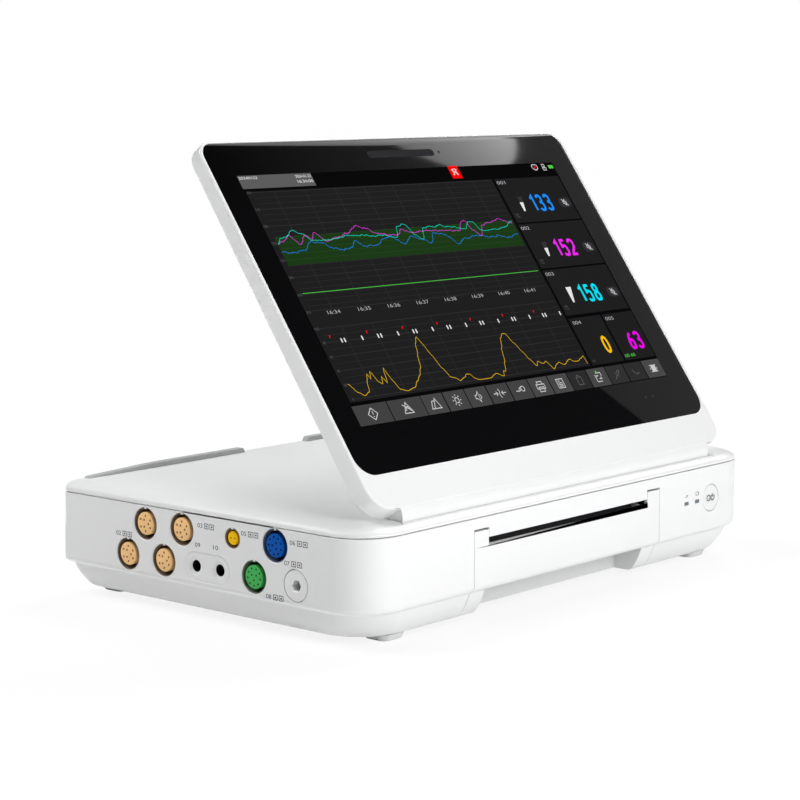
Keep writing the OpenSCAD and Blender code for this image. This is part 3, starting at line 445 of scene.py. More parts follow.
def spline(rows, steps):
    """Smooth rows of numbers through the given rows."""
    out = []
    for k in range(len(rows) - 1):
        p0, p1 = rows[max(k - 1, 0)], rows[k]
        p2, p3 = rows[k + 1], rows[min(k + 2, len(rows) - 1)]
        for i in range(steps):
            t = i / steps
            row = []
            for a, b, c, d in zip(p0, p1, p2, p3):
                v = 0.5 * (2 * b + (c - a) * t + (2 * a - 5 * b + 4 * c - d) * t * t
                           + (3 * b - a - 3 * c + d) * t ** 3)
                row.append(min(max(v, min(b, c)), max(b, c)))
            out.append(tuple(row))
    out.append(tuple(rows[-1]))
    return out


def follow(verts, new):
    """The extruded partner of each vertex."""
    fresh = set(v for v in new if isinstance(v, bmesh.types.BMVert))
    return [next(e.other_vert(v) for e in v.link_edges if e.other_vert(v) in fresh) for v in verts]


def ring_start(bm, points, closed=True):
    """Vertices at the points and the edges between them."""
    verts = [bm.verts.new(p) for p in points]
    pairs = list(zip(verts, verts[1:])) + ([(verts[-1], verts[0])] if closed else [])
    return verts, [bm.edges.new(pair) for pair in pairs]


def loft(rings):
    """Closed solid through rings of equal point counts, each grown from the one before."""
    bm = bmesh.new()
    verts, edges = ring_start(bm, rings[0])
    first = list(edges)
    for points in rings[1:]:
        grown = bmesh.ops.extrude_edge_only(bm, edges=edges)["geom"]
        above = follow(verts, grown)
        for v, p in zip(above, points):
            v.co = p
        edges = [bm.edges.get((a, b)) for a, b in zip(above, above[1:] + above[:1])]
        verts = above
    bmesh.ops.contextual_create(bm, geom=first)
    bmesh.ops.contextual_create(bm, geom=edges)
    bmesh.ops.recalc_face_normals(bm, faces=bm.faces)
    return bm


def round_bar(r, x0, x1, y, z, axis="X", steps=64, chamfer=0.0):
    """Round bar from x0 to x1 at (y, z), or along Z, where y and z are then its x and y."""
    bm = bmesh.new()
    bmesh.ops.create_cone(bm, cap_ends=True, segments=steps, radius1=r, radius2=r, depth=x1 - x0)
    if chamfer:
        rims = [e for e in bm.edges if e.is_manifold and e.calc_face_angle(0) > 1.2]
        bmesh.ops.bevel(bm, geom=rims, offset=chamfer, offset_type="OFFSET", segments=3, profile=0.5,
                        affect="EDGES", material=-1, clamp_overlap=True)
    mid = (x0 + x1) / 2
    if axis == "X":
        turn, place = Matrix.Rotation(math.pi / 2, 4, "Y"), Vector((mid, y, z))
    else:
        turn, place = Matrix.Identity(4), Vector((y, z, mid))
    bmesh.ops.transform(bm, matrix=Matrix.Translation(place) @ turn, verts=bm.verts)
    return bm


def turned(profile, steps=48):
    """Closed round piece: (radius, height) pairs, from axis to axis, turned about Z."""
    bm = bmesh.new()
    verts = [bm.verts.new((r, 0, h)) for r, h in profile]
    edges = [bm.edges.new(pair) for pair in zip(verts, verts[1:])]
    bmesh.ops.spin(bm, geom=verts + edges, cent=(0, 0, 0), axis=(0, 0, 1), angle=2 * math.pi, steps=steps,
                   use_merge=True)
    bmesh.ops.remove_doubles(bm, verts=bm.verts, dist=1e-4)
    bmesh.ops.recalc_face_normals(bm, faces=bm.faces)
    return bm


def at_front(bm, out=0.0):
    """Turns a drawing in (x, height, outwards) into the case's front wall."""
    turn = Matrix(((1, 0, 0, 0), (0, 0, -1, FRONT_Y - out), (0, 1, 0, 0), (0, 0, 0, 1)))
    bmesh.ops.transform(bm, matrix=turn, verts=bm.verts)
    return bm


def at_side(bm, from_front, z, out=0.0):
    """Puts a piece turned about Z into the left side: X to the front, Y up, Z outwards."""
    turn = Matrix(((0, 0, -1, -HALF_W - out), (-1, 0, 0, FRONT_Y + from_front), (0, 1, 0, z), (0, 0, 0, 1)))
    bmesh.ops.transform(bm, matrix=turn, verts=bm.verts)
    return bm


def slab(x0, x1, y0, y1, z0, z1, rounding=0.0):
    """Box between the given planes, with rounded edges where asked."""
    bm = bmesh.new()
    bmesh.ops.create_cube(bm, size=1.0)
    bmesh.ops.scale(bm, vec=(x1 - x0, y1 - y0, z1 - z0), verts=bm.verts)
    bmesh.ops.translate(bm, vec=((x0 + x1) / 2, (y0 + y1) / 2, (z0 + z1) / 2), verts=bm.verts)
    if rounding:
        bmesh.ops.bevel(bm, geom=list(bm.edges), offset=rounding, offset_type="OFFSET", segments=3,
                        profile=0.5, affect="EDGES", material=-1, clamp_overlap=True)
    return bm


def prism(points, x0, x1, axis="X"):
    """Flat outline in (y, z) drawn out along X, or in (x, z) along Y."""
    bm = bmesh.new()
    along_x = axis == "X"
    step = (x1 - x0, 0, 0) if along_x else (0, x1 - x0, 0)
    face = bm.faces.new([bm.verts.new((x0, a, b) if along_x else (a, x0, b)) for a, b in points])
    grown = bmesh.ops.extrude_face_region(bm, geom=[face])["geom"]
    bmesh.ops.translate(bm, vec=step, verts=[g for g in grown if isinstance(g, bmesh.types.BMVert)])
    bmesh.ops.recalc_face_normals(bm, faces=bm.faces)
    return bm


def merged(*parts):
    """One bmesh that holds several, left as separate islands."""
    out = bmesh.new()
    for part in parts:
        scratch = bpy.data.meshes.new("scratch")
        part.to_mesh(scratch)
        part.free()
        out.from_mesh(scratch)
        bpy.data.meshes.remove(scratch)
    return out


def as_object(name, bm):
    """Object with a mesh in metres, from a bmesh in millimetres."""
    bmesh.ops.scale(bm, vec=(MM, MM, MM), verts=bm.verts)
    mesh = bpy.data.meshes.new(name)
    bm.to_mesh(mesh)
    bm.free()
    obj = bpy.data.objects.new(name, mesh)
    bpy.context.scene.collection.objects.link(obj)
    return obj


def combine(obj, tool_bm, operation="DIFFERENCE"):
    """Cuts, joins or crosses obj with a tool given in millimetres."""
    tool = as_object("tool", tool_bm)
    mod = obj.modifiers.new("combine", "BOOLEAN")
    mod.operation = operation
    mod.solver = "EXACT"
    mod.object = tool
    bpy.context.view_layer.update()
    deps = bpy.context.evaluated_depsgraph_get()
    mesh = bpy.data.meshes.new_from_object(obj.evaluated_get(deps))
    obj.modifiers.remove(mod)
    old = obj.data
    obj.data = mesh
    mesh.name = obj.name
    bpy.data.meshes.remove(old)
    tool_mesh = tool.data
    bpy.data.objects.remove(tool)
    bpy.data.meshes.remove(tool_mesh)
    if len(obj.data.polygons) == 0:
        raise RuntimeError("nothing is left of " + obj.name)


def shade(obj):
    """Merges doubles, marks the sharp edges and smooths the rest."""
    bm = bmesh.new()
    bm.from_mesh(obj.data)
    bmesh.ops.remove_doubles(bm, verts=bm.verts, dist=2e-6)
    bmesh.ops.dissolve_degenerate(bm, edges=bm.edges, dist=1e-7)
    for face in bm.faces:
        face.smooth = True
    for edge in bm.edges:
        edge.smooth = len(edge.link_faces) == 2 and edge.calc_face_angle(0) < math.radians(SHARP_ANGLE)
    bm.to_mesh(obj.data)
    bm.free()


def soften(obj, width, angle):
    """Rounds the moulded edges and evens the normals of the flat faces."""
    bevel = obj.modifiers.new("edge rounding", "BEVEL")
    bevel.width = width
    bevel.segments = 2
    bevel.limit_method = "ANGLE"
    bevel.angle_limit = math.radians(angle)
    bevel.use_clamp_overlap = False
    bevel.loop_slide = False
    bevel.harden_normals = False
    even = obj.modifiers.new("even normals", "WEIGHTED_NORMAL")
    even.keep_sharp = True
    even.weight = 60


def wear(obj, material):
    obj.data.materials.clear()
    obj.data.materials.append(material)


def finish_piece(obj, body, material, replaces=(), soft=None, angle=MOULD_ANGLE):
    """Shades, dresses and attaches a piece."""
    shade(obj)
    if soft is not None:
        soften(obj, soft, angle)
    wear(obj, material)
    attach(obj, body)
    if replaces:
        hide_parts(*replaces)


def dress(material, soft, *names):
    """Gives solids of the frame their material and, where asked, smoother edges."""
    for name in names:
        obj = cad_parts[name]
        wear(obj, material)
        if soft:
            weld = obj.modifiers.new("weld", "WELD")
            weld.merge_threshold = 1e-6
            soften(obj, soft, SOLID_ANGLE)


# ------------------------------------------------------------ shell profiles
# Chin: inset and share of its height; posts of the case screws: x and y
CHIN_ROWS = [(14, 0.0), (12.4, 0.05), (10.7, 0.15), (8.6, 0.35), (6.7, 0.57), (5.2, 0.8), (4, 1.0)]
POSTS = ((-155.7, -81), (155.7, -81), (-171.7, 77), (171.7, 83))


def case_ring(side, back, z):
    """Outline of the case at a height, inset all round and further at the back."""
    return lift(plan(side, side, side + back), z)


def chin_ring(side, z):
    """Outline of the chin, whose corners keep their radius while it tapers."""
    return lift(plan(side, side, side, FRONT_CORNER + side, REAR_CORNER + side), z)


def case_outside():
    """Tapered chin, soft ledge under the crease, upright wall and waisted back."""
    chin = spline([(s, FLOOR_Z + (CREASE_Z - 1.6 - FLOOR_Z) * f) for s, f in CHIN_ROWS], 3)
    ledge = spline([(2.4, 0, CREASE_Z - 0.4), (0.8, 0, CREASE_Z + 0.8), (0, 0, CREASE_Z + 3)], 3)
    upper = spline([(0, 0, CREASE_Z + 9), (0, 0.4, CREASE_Z + 20.5), (0, REAR_WAIST, CREASE_Z + 29),
                    (0, REAR_WAIST, SEAM_Z - 0.5)], 3)
    return loft([chin_ring(*row) for row in chin] + [case_ring(*row) for row in ledge + upper])


def case_inside():
    """The hollow of the case, one wall inside its outside."""
    chin = [(WALL + 12.4, FLOOR_Z + WALL), (WALL + 8.6, FLOOR_Z + WALL + 3), (WALL + 5, CREASE_Z - 2)]
    rows = [(WALL, 0, CREASE_Z + 3.5), (WALL, REAR_WAIST, CREASE_Z + 18), (WALL, REAR_WAIST, SEAM_Z + 10)]
    return loft([chin_ring(*row) for row in chin] + [case_ring(*row) for row in rows])


def top_at(y):
    """Height of the cover's top, which falls towards the front."""
    return TOP_Z - TOP_FALL * (HALF_D - y) / (2 * HALF_D)


def cover_rings(inset, top_drop, base_z, rise_z, steps):
    """Upright foot and quarter-round border of the cover, as rings."""
    rings = [lift(plan(inset, inset, REAR_WAIST + inset), base_z)]
    for k in range(steps + 1):
        t = k / steps
        s, f = 1 - math.cos(math.pi / 2 * t), math.sin(math.pi / 2 * t)
        outline = plan(inset + 10 * s, inset + 14 * s, REAR_WAIST + inset + 6 * s)
        rings.append([(x, y, rise_z + (top_at(y) - top_drop - rise_z) * f) for x, y in outline])
    return rings


# ------------------------------------------------------------------- pieces
class MONITOR_OT_case(bpy.types.Operator):
    """Moulded base with its chin, socket holes, drawer bay and rear recess"""

    bl_idname = "monitor.case"
    bl_label = "Case"

    def execute(self, context):
        obj = as_object("case_shell", case_outside())
        combine(obj, case_inside())
        gap = DRAWER_GAP
        back = RECESS_Y + RECESS_WALL + gap
        combine(obj, slab(DRAWER_X0 - gap, DRAWER_X1 + gap, FRONT_Y - 5, FRONT_Y + 20, -5, SLOT_TOP_Z))
        for x0, x1 in ((DRAWER_X0 - gap, EAR_X0 + gap), (EAR_X1 - gap, DRAWER_X1 + gap)):
            combine(obj, slab(x0, x1, FRONT_Y - 5, FRONT_Y + 20, SLOT_TOP_Z - 1, EAR_Z + 1.2))
        combine(obj, slab(DRAWER_X0 - gap, DRAWER_X1 + gap, FRONT_Y - 5, back, -5, FLOOR_Z + WALL + 1))
        for name, (y, z, r) in SOCKETS.items():
            mouth = HOSE_FLARE if name == "hose" else SOCKET_FLARE
            hole = [(0, 5), (r + mouth, 5), (r + mouth, 0), (r, -mouth), (r, -20), (0, -20)]
            combine(obj, at_side(turned(hole), y, z))
        pill = []
        for out, grow in ((5, 0.5), (0, 0.5), (-0.5, 0), (-20, 0)):
            pill.append([(x, z, out) for s, a in ((1, -90), (1, 0), (-1, 90), (-1, 180))
                         for x, z in corner(s * 10.2, 0, 8.6 + grow, a, 12)])
        combine(obj, at_side(loft(pill), JACKS[0], JACKS[1]))
        button = turned([(0, 5), (9.7, 5), (9.7, 0), (9.35, -0.35), (9.35, -8), (0, -8)], 96)
        bmesh.ops.translate(button, vec=(*BUTTON, 0), verts=button.verts)
        windows = [loft([[(x + a * (2.5 + g), z + b * (1.2 + g), out)
                          for a, b in ((-1, -1), (1, -1), (1, 1), (-1, 1))]
                         for out, g in ((5, 0.25), (0, 0.25), (-0.25, 0), (-8, 0))]) for x, z in LAMPS]
        combine(obj, at_front(merged(button, *windows)))
        rear = HALF_D - REAR_WAIST - 0.6
        combine(obj, slab(-110, 70, rear - 6, HALF_D + 5, 28, 52, 1.5))
        under = []
        for i in range(8):
            x = HALF_W - 91.7 + 6 + 8 * i
            under.append(slab(x, x + 3, 1, 45, -1, FLOOR_Z + WALL + 1, 1.2))
        for i in range(-3, 4):
            x = -HALF_W + 51.7 + 5 * i
            under.append(slab(x - 1, x + 1, FRONT_Y + 64, FRONT_Y + 92, -1, FLOOR_Z + WALL + 1, 0.8))
        under.append(slab(72, 152, 77, 113, -5, FLOOR_Z + WALL + 1))
        under += [round_bar(1.7, -1, 9, x, 95, "Z", 24) for x in (68, 156)]
        under += [round_bar(3.2, -1, FLOOR_Z + 1.6, x, y, "Z", 32) for x, y in POSTS]
        combine(obj, merged(*under))
        combine(obj, merged(*[slab(x - 5, x + 5, 89, 101, -1, FLOOR_Z + 1.2) for x in (68, 156)]))
        low = FLOOR_Z + WALL - 0.5
        posts = [round_bar(POST_R, low, SEAM_Z - 1, x, y, "Z", 32) for x, y in POSTS]
        posts += [round_bar(POST_R, low, 51, x, PIVOT_Y + 19, "Z", 32) for x in (-HINGE_X, HINGE_X)]
        for name, (y, z, r) in SOCKETS.items():
            if name != "hose":
                posts.append(at_side(slab(-0.8, 0.8, r - 1.0, r + 0.8, -2.2, -0.3), y, z))
        combine(obj, merged(*posts), "UNION")
        finish_piece(obj, "base", shell_white(), ("main_case",), sizes().edge_round,
                     CASE_ANGLE)
        return {"FINISHED"}


class MONITOR_OT_cover(bpy.types.Operator):
    """Top cover with its rolled border, hinge trough and rear ridge"""

    bl_idname = "monitor.cover"
    bl_label = "Top Cover"

    def execute(self, context):
        obj = as_object("cover_shell", loft(cover_rings(0.3, 0.0, SEAM_Z, SEAM_Z + 1.2, 14)))
        combine(obj, loft(cover_rings(WALL, WALL, SEAM_Z - 1, SEAM_Z, 6)))
        trough = BARREL_LEN / 2 + 0.6
        wall = as_object("trough_wall", round_bar(TROUGH_R + 2.4, -trough - 2.4, trough + 2.4,
                                                  PIVOT_Y, PIVOT_Z))
        combine(wall, slab(-400, 400, -400, 400, 0, top_at(PIVOT_Y) - 0.5), "INTERSECT")
        bm = bmesh.new()
        bm.from_mesh(wall.data)
        bmesh.ops.scale(bm, vec=(1 / MM,) * 3, verts=bm.verts)
        bpy.data.objects.remove(wall)
        combine(obj, bm, "UNION")
        posts = [round_bar(POST_R, SEAM_Z - 1, top_at(y) - 1, x, y, "Z", 32) for x, y in POSTS]
        combine(obj, merged(*posts), "UNION")
        ridge_y = HALF_D - REAR_WAIST - 10
        z, e = top_at(ridge_y) - 0.6, HALF_W - 12
        strips = []
        for side, inner in ((-1, -45), (1, 15)):
            shape = [(side * e, z), (inner, z), (inner + side * 2, z + 3.4), (inner + side * 3.4, z + 3.8),
                     (side * (e - 66), z + 3.8), (side * (e - 50), z + 3.5), (side * (e - 3), z + 1.8)]
            strips.append(prism(shape, ridge_y, ridge_y + 5, "Y"))
        strips = as_object("rear_ridge", merged(*strips))
        # The ridge's grey is painted shade: it stands for the shade on the ridge's front face under the
        # screen.
        grey = plastic("ridge painted shade grey", (0.47, 0.475, 0.48), 0.5, tone=0.05)
        finish_piece(strips, "base", grey, soft=sizes().edge_round)
        combine(obj, round_bar(TROUGH_R, -trough, trough, PIVOT_Y, PIVOT_Z, steps=96))
        for x in (-HINGE_X, HINGE_X):
            combine(obj, slab(x - 8, x + 8, PIVOT_Y - 4, PIVOT_Y + 4, PIVOT_Z - TROUGH_R - 5, PIVOT_Z))
        finish_piece(obj, "base", shell_white(), ("top_cover",), sizes().edge_round)
        return {"FINISHED"}


class MONITOR_OT_drawer(bpy.types.Operator):
    """Recorder drawer with its door, ears, chin blocks, finger recess and tray"""

    bl_idname = "monitor.drawer"
    bl_label = "Recorder Drawer"

    def execute(self, context):
        y = FRONT_Y
        front = as_object("drawer_shell", slab(DRAWER_X0, DRAWER_X1, y - 1, y + DOOR_T, 0, LIP_Z))
        lip = [(y + 0.3, LIP_Z - 1), (y + 0.3, LIP_Z + 0.02), (y + 1.2, LIP_Z + 0.3),
               (y + DOOR_T + 0.6, LIP_Z + 0.8), (y + DOOR_T + 0.6, LIP_Z - 1)]
        combine(front, prism(lip, EAR_X0 - 1, EAR_X1 + 1), "UNION")
        for x0, x1 in ((DRAWER_X0, EAR_X0), (EAR_X1, DRAWER_X1)):
            combine(front, slab(x0, x1, y - 1, y + DOOR_T, LIP_Z - 1, EAR_Z), "UNION")
        back = RECESS_Y + RECESS_WALL
        for x0, x1 in ((DRAWER_X0, TRAY_X0 + 0.1), (TRAY_X1 - 0.1, DRAWER_X1)):
            combine(front, slab(x0, x1, y - 1, back, 0, DOOR_Z + 4), "UNION")
        for x0, x1 in ((TRAY_X0 - RECESS_WALL, TRAY_X0 + 0.1), (TRAY_X1 - 0.1, TRAY_X1 + RECESS_WALL)):
            combine(front, slab(x0, x1, y + 1, back, DOOR_Z, POCKET_Z + 2), "UNION")
        combine(front, slab(TRAY_X0, TRAY_X1, RECESS_Y - 0.1, back, 0, POCKET_Z + 2), "UNION")
        combine(front, slab(TRAY_X0, TRAY_X1, y + 1, RECESS_Y + 1, POCKET_Z, POCKET_Z + 2), "UNION")
        combine(front, case_outside(), "INTERSECT")
        combine(front, slab(TRAY_X0, TRAY_X1, y - 5, RECESS_Y, -5, DOOR_Z))
        combine(front, slab(TRAY_X0, TRAY_X1, y + DOOR_T, RECESS_Y, 0, POCKET_Z))
        tray_z = FLOOR_Z + WALL + 2.6
        for x in (TRAY_X0, TRAY_X1 - TRAY_WALL):
            cheek = [(y + 1, POCKET_Z), (y + 1, LIP_Z), (y + 10, CHEEK_TOP), (y + 22, CHEEK_TOP),
                     (y + 34, TRAY_TOP), (TRAY_BACK_Y, TRAY_TOP), (TRAY_BACK_Y, tray_z),
                     (RECESS_Y, tray_z), (RECESS_Y, POCKET_Z)]
            combine(front, prism(cheek, x, x + TRAY_WALL), "UNION")
        combine(front, slab(TRAY_X0, TRAY_X1, RECESS_Y, TRAY_BACK_Y, tray_z, tray_z + 2.0), "UNION")
        combine(front, slab(TRAY_X0, TRAY_X1, TRAY_BACK_Y - TRAY_WALL, TRAY_BACK_Y, tray_z, TRAY_TOP),
                "UNION")
        combine(front, slab(-34.3, 21.7, TRAY_BACK_Y - 5, TRAY_BACK_Y + 1, 28, 80, 3))
        for x0, x1 in ((DRAWER_X0 + 0.3, TRAY_X0 + 0.1), (TRAY_X1 - 0.1, DRAWER_X1 - 0.3)):
            combine(front, slab(x0, x1, RECESS_Y + 5, TRAY_BACK_Y, 26, 30), "UNION")
        for x in (TRAY_X0, TRAY_X1 - TRAY_WALL):
            combine(front, round_bar(4.0, x - 1, x + 3.6, y + 16, 43.5, steps=48))
        finish_piece(front, "drawer", shell_white(), ("paper_drawer",), sizes().edge_round)
        return {"FINISHED"}


# Screen axes: X across, Y up the glass, Z out of it, with the picture's lower edge at Y = 0
TILT = 55.0
THICK_LOW = 13.5
THICK_HIGH = 10.7
ON_SCREEN = (Matrix.Translation((0, PIVOT_Y, PIVOT_Z)) @ Matrix.Rotation(math.radians(TILT), 4, "X")
             @ Matrix.Translation((0, 51.55, BARREL_R + 0.2)))


def thick(v):
    """Depth of the screen frame at a height."""
    return THICK_LOW + (THICK_HIGH - THICK_LOW) * (v - FRAME_BOTTOM) / (FRAME_TOP - FRAME_BOTTOM)


def frame_outline(g):
    x = (FRAME_W - 2 * g) / 2
    return rounded(-x, FRAME_BOTTOM + g, x, FRAME_TOP - g, CORNER_BOTTOM - g, CORNER_TOP - g)


def glass_outline(g):
    x = (FRAME_W - 2 * RIM - 2 * g) / 2
    return rounded(-x, GLASS_BOTTOM + g, x, GLASS_TOP - g, CORNER_BOTTOM - 4 - g, CORNER_TOP - RIM - g)


def at_depth(points, behind, n):
    """The outline at a depth from the front plane, or from the back where behind is set."""
    return [(x, v, n - (thick(v) if behind else 0)) for x, v in points]


def placed(bm):
    """Moves a piece from the screen's axes to where the screen stands."""
    bmesh.ops.transform(bm, matrix=ON_SCREEN, verts=bm.verts)
    return bm


def screen_block(outline_of, inset, low, high):
    """Cutter between two depths of the screen, each given as (behind, height)."""
    return placed(loft([at_depth(outline_of(inset), *low), at_depth(outline_of(inset), *high)]))


class MONITOR_OT_screen_frame(bpy.types.Operator):
    """Wedge-shaped white bezel with rounded corners, moulded with its hinge barrel"""

    bl_idname = "monitor.screen_frame"
    bl_label = "Screen Frame"

    def execute(self, context):
        rows = [(2.6, 1, 0.0), (1.6, 1, 0.28), (0.9, 1, 0.7), (0.4, 1, 1.3), (0.1, 1, 2.2),
                (0.0, 0, -1.25), (0.06, 0, -0.8), (0.2, 0, -0.42), (0.42, 0, -0.16), (0.7, 0, -0.04),
                (1.0, 0, 0.0)]
        obj = as_object("bezel", placed(loft([at_depth(frame_outline(g), f, n) for g, f, n in rows])))
        barrel = round_bar(BARREL_R, -BARREL_LEN / 2, BARREL_LEN / 2, PIVOT_Y, PIVOT_Z, steps=96, chamfer=0.6)
        combine(obj, barrel, "UNION")
        combine(obj, screen_block(glass_outline, -0.15, (0, -1.9), (0, 1)))
        combine(obj, screen_block(glass_outline, 4, (1, -5), (0, 0)))
        combine(obj, screen_block(frame_outline, 3, (1, -1), (1, 1.9)))
        for x in (-HINGE_X, HINGE_X):
            combine(obj, round_bar(8.3, x - HINGE_W / 2, x + HINGE_W / 2, PIVOT_Y, PIVOT_Z))
            wedge = [(PIVOT_Y, PIVOT_Z)] + arc(PIVOT_Y, PIVOT_Z, 26, range(-146, -9, 17))
            combine(obj, prism(wedge, x - HINGE_W / 2, x + HINGE_W / 2))
            combine(obj, round_bar(4.0, x - 16, x + 16, PIVOT_Y, PIVOT_Z, steps=48))
        finish_piece(obj, "screen", bezel_white(), ("screen_frame",), soft=0.00025)
        return {"FINISHED"}


def between(tree, value, low, high, at):
    """Share from 0 to 1 of the way from low to high."""
    n = node(tree, "ShaderNodeMapRange", at)
    n.inputs["From Min"].default_value, n.inputs["From Max"].default_value = low, high
    tree.links.new(value, n.inputs["Value"])
    return n.outputs["Result"]


def along(tree, coord, direction, at):
    """Distance of a point along a direction."""
    n = node(tree, "ShaderNodeVectorMath", at, operation="DOT_PRODUCT")
    n.inputs[1].default_value = direction
    tree.links.new(coord, n.inputs[0])
    return n.outputs["Value"]


def black_glass():
    """Near-black glass with a faint smear, a painted sheen across it and a painted reflection that lightens
    its upper right.
    """
    mat, tree, shader = new_material("black touch glass")
    coord = object_coord(tree, (-1100, 0))
    smear = noise(tree, coord, 26.0, 5.0, 0.65, (-800, 0))
    film = ramp(tree, smear, [(0.35, 0.0), (0.75, 1.0)], (-550, 0))
    across = node(tree, "ShaderNodeSeparateXYZ", (-900, 400))
    tree.links.new(coord, across.inputs[0])
    # Painted sheen: a base colour that grows lighter towards the glass's right side.
    share = between(tree, across.outputs["X"], -0.165, 0.165, (-700, 400))
    painted_sheen = ramp(tree, share, [(0.0, 0.0028), (0.27, 0.0085), (0.545, 0.014), (0.82, 0.0185), (1.0, 0.022)],
                 (-500, 400))
    # Painted reflection: a slanted band on the right and the upper part of the glass take the painted sheen
    # as their base colour.
    slant = along(tree, coord, (0.751, 0.3791, 0.5415), (-900, 600))
    upper = along(tree, coord, (0.0, 0.5736, 0.8192), (-900, 800))
    lit = math_node(tree, "MAXIMUM", between(tree, slant, 0.0880, 0.0909, (-700, 600)),
                    between(tree, upper, 0.1987, 0.2267, (-700, 800)), (-500, 700))
    base = mix_colour(tree, lit, tint(colours().glass), painted_sheen, "MIX", (-300, 300))
    for key, value in (("Base Color", base), ("Roughness", scaled(tree, film, 0.04, 0.06, (-300, -100))),
                       ("Specular IOR Level", 0.04)):
        feed(tree, shader.inputs[key], value)
    mat.diffuse_color = tint(colours().glass)
    return mat


# Places on the glass: middle, half length and radius; then middles and radii of the round spots
SENSOR_WINDOW = (1, 186, 30, 2.7)
SPOTS = ((39.0, 186.0, 1.0), (118.0, -12.5, 1.0), (126.0, -12.5, 1.0))


class MONITOR_OT_glass(bpy.types.Operator):
    """Black touch glass with the sensor window and camera spot above the picture"""

    bl_idname = "monitor.glass"
    bl_label = "Touch Glass"

    def execute(self, context):
        rows = [(0.3, -1.9), (0.0, -1.6), (0.0, -0.35), (0.08, -0.19), (0.25, GLASS_N)]
        obj = as_object("touch_sheet", placed(loft([at_depth(glass_outline(g), 0, n) for g, n in rows])))
        finish_piece(obj, "screen", black_glass(), ("touch_glass",))
        n = GLASS_N + sizes().picture_lift / MM
        pill, spots = bmesh.new(), bmesh.new()
        x, v, reach, r = SENSOR_WINDOW
        face_of(pill, [point for side, up, a in ((1, 0.01, -90), (1, 0, 0), (-1, 0, 90), (-1, 0.01, 180))
                       for point in corner(x + side * reach, v + up, r, a, 10)], n)
        for x, v, r in SPOTS:
            face_of(spots, arc(x, v, r, range(0, 360, 15)), n)
        for name, bm, finish in (
                ("sensor_window", pill, plastic("smoked window", (0.016, 0.016, 0.019), 0.16, tone=0.4)),
                ("camera_spots", spots, plastic("lens spot", (0.035, 0.036, 0.042), 0.1, tone=0.4))):
            finish_piece(as_object(name, placed(bm)), "screen", finish)
        return {"FINISHED"}


# ------------------------------------------------------------ screen picture
def face_of(bm, points, n):
    """Flat face through the points at one height above the drawing's plane."""
    return bm.faces.new([bm.verts.new((x, v, n)) for x, v in points])


def patch(bm, x0, v0, x1, v1, n, rounding=0.0):
    """Flat rectangle, rounded where asked."""
    if rounding:
        face_of(bm, rounded(x0, v0, x1, v1, rounding, rounding, 5), n)
    else:
        face_of(bm, [(x0, v0), (x1, v0), (x1, v1), (x0, v1)], n)


def face_up(faces):
    for face in faces:
        face.normal_update()
        if face.normal.z < 0:
            face.normal_flip()


def stroke(bm, points, width, n, closed=False):
    """Line of even width, grown sideways from its middle."""
    verts, edges = ring_start(bm, [(x, v, n) for x, v in points], closed)
    grown = bmesh.ops.extrude_edge_only(bm, edges=edges)["geom"]
    partners = follow(verts, grown)
    count = len(verts)
    middle = [v.co.copy() for v in verts]
    for i, (a, b) in enumerate(zip(verts, partners)):
        before = middle[i - 1] if (i or closed) else middle[i]
        after = middle[(i + 1) % count] if (i < count - 1 or closed) else middle[i]
        one, two = (middle[i] - before), (after - middle[i])
        one = one.normalized() if one.length > 1e-9 else two.normalized()
        two = two.normalized() if two.length > 1e-9 else one
        ahead = one + two
        ahead = ahead.normalized() if ahead.length > 1e-6 else two
        side = Vector((-ahead.y, ahead.x, 0))
        reach = width / 2 / max(0.45, side.dot(Vector((-two.y, two.x, 0))))
        a.co, b.co = middle[i] - side * reach, middle[i] + side * reach
    face_up([g for g in grown if isinstance(g, bmesh.types.BMFace)])


def figure(bm, text, x0, x1, v0, v1, n):
    """Plain figures that fill the given box."""
    curve = bpy.data.curves.new("figure", "FONT")
    curve.body = text
    curve.resolution_u = 5
    obj = bpy.data.objects.new("figure", curve)
    bpy.context.scene.collection.objects.link(obj)
    bpy.context.view_layer.update()
    mesh = bpy.data.meshes.new_from_object(obj.evaluated_get(bpy.context.evaluated_depsgraph_get()))
    xs = [v.co.x for v in mesh.vertices]
    ys = [v.co.y for v in mesh.vertices]
    wide, tall = (x1 - x0) / (max(xs) - min(xs)), (v1 - v0) / (max(ys) - min(ys))
    mesh.transform(Matrix.Translation((x0, v0, n)) @ Matrix.Diagonal((wide, tall, 0, 1))
                   @ Matrix.Translation((-min(xs), -min(ys), 0)))
    bm.from_mesh(mesh)
    bpy.data.meshes.remove(mesh)
    bpy.data.objects.remove(obj)
    bpy.data.curves.remove(curve)


